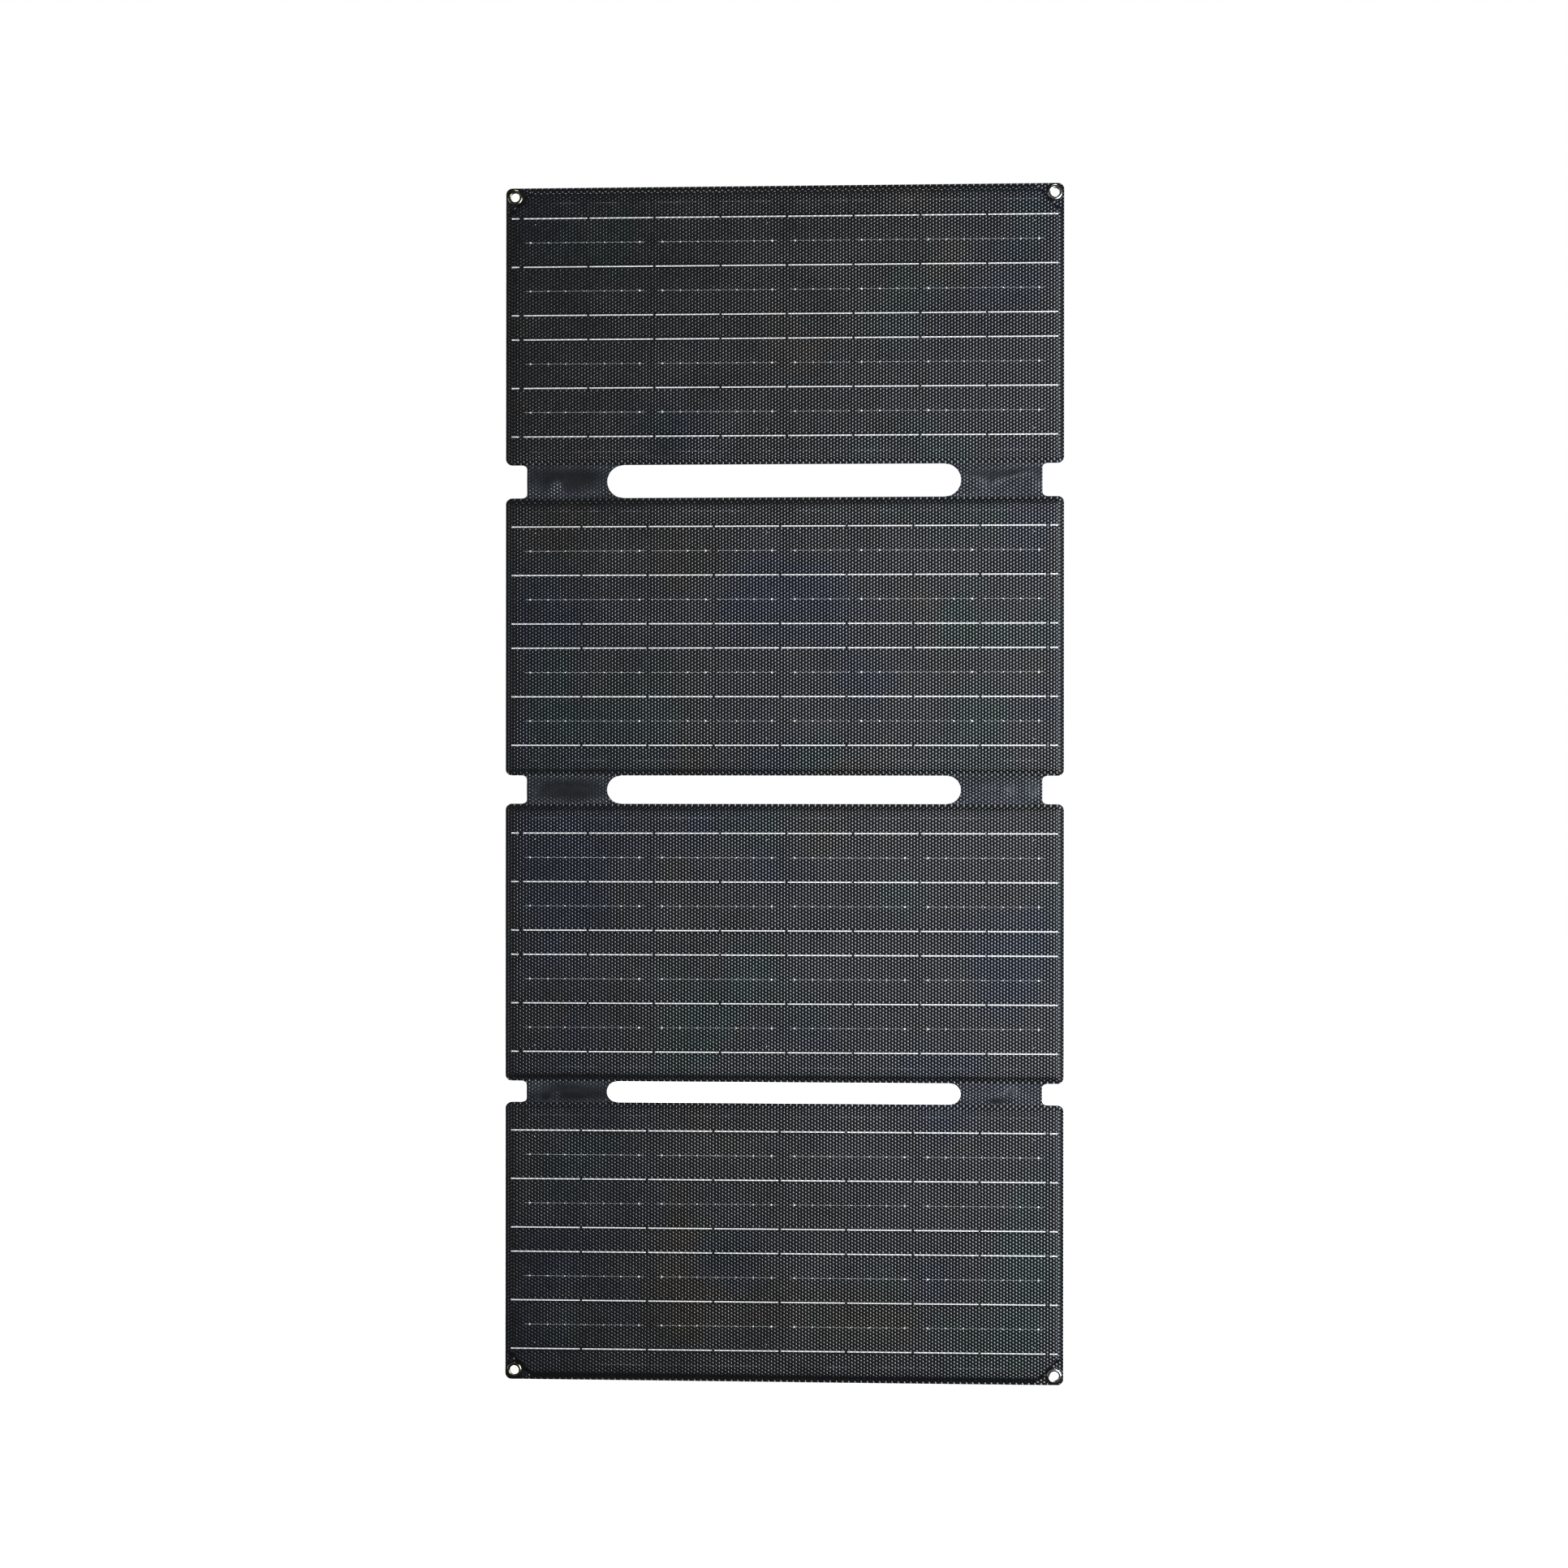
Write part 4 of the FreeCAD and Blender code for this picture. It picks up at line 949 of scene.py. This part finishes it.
def strip_mesh(name, places, surfaces, material, back_material=None):
    """A closed thin sheet over a grid of places, between a front and a back surface."""
    rows, columns = places.shape[:2]
    flat = places.reshape(-1, 2)
    front, back = surfaces
    points = np.concatenate(
        [
            np.stack([flat[:, 0], front, flat[:, 1]], axis=1),
            np.stack([flat[:, 0], back, flat[:, 1]], axis=1),
        ]
    )
    index = np.arange(rows * columns).reshape(rows, columns)
    faces = []
    for shift in (0, rows * columns):
        a, b = index[:-1, :-1] + shift, index[:-1, 1:] + shift
        c, d = index[1:, 1:] + shift, index[1:, :-1] + shift
        faces.append(np.stack([a, b, c, d], axis=-1).reshape(-1, 4))
    loop = np.concatenate([index[0], index[1:, -1], index[-1, -2::-1], index[-2:0:-1, 0]])
    after = np.roll(loop, -1)
    wall = np.stack([loop, after, after + rows * columns, loop + rows * columns], axis=-1)
    piece = make_object(name, points, np.concatenate([*faces, wall]), material)
    if back_material:
        piece.data.materials.append(back_material)
        for face in piece.data.polygons[len(faces[0]) : 2 * len(faces[0])]:
            face.material_index = 1
    face_outwards(piece)
    return piece


def web_places(fold, side, high, low):
    """A grid over half of a web, from high to low."""
    rows = np.linspace(high, low, max(4, int(round((high - low) / WEB_STEP))) + 1)
    inner, outer = fold.limits(rows - fold.centre)
    share = np.linspace(0, 1, int(round(62 * MM / WEB_STEP)) + 1)
    across = side * (inner[:, None] + (outer - inner)[:, None] * share[None, :])
    return np.stack([across, np.repeat(rows[:, None], len(share), axis=1)], axis=-1)


def make_web(fold, side):
    """A web, in two halves."""
    word = "left" if side < 0 else "right"
    for half, above, below, high, low in fold.halves:
        places = web_places(fold, side, high, low)
        surfaces = fold.surfaces(places.reshape(-1, 2))
        name = f"fold_{fold.name}_web_{word}_{half}"
        piece = strip_mesh(name, places, surfaces, LOOKS["web_fabric"], LOOKS["back_fabric"])
        finish_piece(
            piece, None, (f"fold_{fold.name}_web_{word}",), fold.relief, sharp=60
        )
        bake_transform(piece)


def make_lead(fold, node, label):
    """A flat conductor inside a web, in two halves."""
    low_box, high_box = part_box(node)
    for half, above, below, high, low in fold.halves:
        across = np.linspace(low_box.x, high_box.x, LEAD_COLUMNS)
        rows = np.linspace(high, low, LEAD_ROWS)
        places = np.stack(np.meshgrid(across, rows), axis=-1)
        flat = places.reshape(-1, 2)
        slack, wave = fold.bow(flat)
        shift = -LEAD_BOW * slack - wave
        surfaces = (low_box.y + shift, high_box.y + shift)
        name = f"fold_{fold.name}_{label}_{half}"
        piece = strip_mesh(name, places, surfaces, LOOKS["tinned_ribbon"])
        finish_piece(piece, None, (node,), 0.0)
        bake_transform(piece)


# ---- eyelets ------------------------------------------------------------------------

# closed profiles as radii and heights behind the origin, in mm
EYELET_FRONT = (
    (3.25, -0.3), (3.32, -0.52), (3.55, -0.68), (3.95, -0.77), (4.35, -0.8), (4.8, -0.74),
    (5.2, -0.58), (5.43, -0.36), (5.5, -0.2), (5.3, -0.12), (3.75, -0.12),
)
EYELET_BACK = (
    (3.75, 1.62), (4.2, 1.66), (4.6, 1.7), (4.62, 1.76), (4.3, 1.8), (3.7, 1.79), (3.35, 1.7),
    (3.25, 1.5),
)
WASHER = (
    (3.85, 1.4), (5.4, 1.4), (5.5, 1.46), (5.46, 1.58), (5.2, 1.65), (4.4, 1.62), (4.0, 1.57),
    (3.85, 1.5),
)


def make_rings(name, height, profile, body, node):
    """Turned rings at one height, one each side, from a closed profile."""
    size = len(profile)
    points, faces = [], []
    for side in (-1, 1):
        start = len(points)
        for turn in range(EYELET_TURNS):
            angle = 2 * math.pi * turn / EYELET_TURNS
            here = start + turn * size
            after = start + (turn + 1) % EYELET_TURNS * size
            for n, (radius, y) in enumerate(profile):
                across = side * EYELET_X + radius * MM * math.cos(angle)
                points.append((across, y * MM, height + radius * MM * math.sin(angle)))
                beside = (n + 1) % size
                faces.append((here + n, here + beside, after + beside, after + n))
    piece = make_object(name, points, faces, LOOKS["eyelet_metal"])
    face_outwards(piece)
    finish_piece(piece, body, (node,), sharp=50)


# ---- build --------------------------------------------------------------------------

for panel in PANELS:
    make_film(panel)
    make_back_cloth(panel)
    make_ribbons(panel)
    make_print(panel)
for name in FOLDS:
    fold = Fold(name)
    for side in (-1, 1):
        make_web(fold, side)
    make_lead(fold, f"fold_{name}_series_link", "series_link")
    make_lead(fold, f"fold_{name}_return_lead", "return_lead")
for word, panel in (("top", 1), ("bottom", 4)):
    for name, profile, node in (
        ("rolled_eyelets", EYELET_FRONT + EYELET_BACK, "eyelets"),
        ("turned_washers", WASHER, "eyelet_washers"),
    ):
        height = EYELET_Z[panel]
        make_rings(f"{word}_{name}", height, profile, f"panel_{panel}", f"{word}_{node}")
dress_cad_nodes()
ease_edges()


# ---- studio -------------------------------------------------------------------------

def make_floor():
    """A plain pale floor, a little below the blanket."""
    size = 6
    level = cad_low.z - 12 * MM
    corners = ((-size, -size), (size, -size), (size, size), (-size, size))
    points = [(x, y, level) for x, y in corners]
    floor = make_object("floor", points, [(0, 1, 2, 3)], floor_material())
    floor.visible_glossy = False


def aim(holder, place, target):
    """Put a lamp or the camera in the scene at one place, looking at another."""
    holder.location = place
    holder.rotation_mode = "QUATERNION"
    holder.rotation_quaternion = (Vector(target) - Vector(place)).to_track_quat("-Z", "Y")
    bpy.context.scene.collection.objects.link(holder)


def make_light(name, place, target, size, power):
    """A soft box of a size in metres and a power in watts."""
    lamp = bpy.data.lights.new(name, "AREA")
    lamp.shape = "RECTANGLE"
    lamp.size, lamp.size_y = size
    lamp.energy = power
    aim(bpy.data.objects.new(name, lamp), place, target)


def make_overhead():
    """A soft light from straight above, which whitens the floor and grazes the blanket."""
    lamp = bpy.data.lights.new("overhead", "SUN")
    lamp.energy = 3.9
    lamp.angle = math.radians(25)
    aim(bpy.data.objects.new("overhead", lamp), (0, 0, 3), (0, 0.02, 0))


def make_world():
    """White to the eye, and a dim even fill to everything else."""
    world = bpy.data.worlds.new("studio")
    bpy.context.scene.world = world
    world.use_nodes = True
    tree = world.node_tree
    fill = tree.nodes["Background"]
    fill.inputs["Color"].default_value = (1, 1, 1, 1)
    fill.inputs["Strength"].default_value = 0.04
    seen = tree.nodes.new("ShaderNodeBackground")
    seen.inputs["Color"].default_value = (1, 1, 1, 1)
    path = tree.nodes.new("ShaderNodeLightPath")
    pick = tree.nodes.new("ShaderNodeMixShader")
    tree.links.new(path.outputs["Is Camera Ray"], pick.inputs["Fac"])
    tree.links.new(fill.outputs[0], pick.inputs[1])
    tree.links.new(seen.outputs[0], pick.inputs[2])
    tree.links.new(pick.outputs[0], tree.nodes["World Output"].inputs["Surface"])


def make_camera():
    """Nearly square on, a little to the right, level with the blanket's middle."""
    target = Vector((0.00047, 0, -0.42587))
    yaw, pitch, roll = math.radians(2.997), math.radians(-0.037), math.radians(0.046)
    away = Vector(
        (math.sin(yaw) * math.cos(pitch), -math.cos(yaw) * math.cos(pitch), math.sin(pitch))
    )
    camera = bpy.data.cameras.new("camera")
    camera.lens = 63.53
    camera.sensor_width = 36
    holder = bpy.data.objects.new("camera", camera)
    aim(holder, target + away * 2.0, target)
    turn = Quaternion((0, 0, 1), roll)
    holder.rotation_quaternion = holder.rotation_quaternion @ turn
    bpy.context.scene.camera = holder


make_floor()
make_light("key_right", (0.82, -1.5, -0.5), (0.1, 0, -0.43), (0.6, 0.95), 40)
make_light("glow_right", (1.3, -1.3, -0.45), (0.1, 0, -0.43), (1.5, 1.2), 25)
make_light("fill_left", (-0.9, -1.9, -0.2), (0, 0, -0.45), (0.5, 0.9), 1.2)
make_light("side_left", (-1.9, -0.75, -0.45), (0, 0, -0.43), (0.8, 1.2), 10)
make_light("back", (0.9, 1.9, 0.4), (0, 0, -0.4), (1.2, 1.4), 26)
make_light("back_left", (-1.4, 1.3, 0.1), (0, 0, -0.4), (0.8, 1.2), 9)
make_overhead()
make_world()
make_camera()
bpy.context.scene.view_settings.view_transform = "Standard"
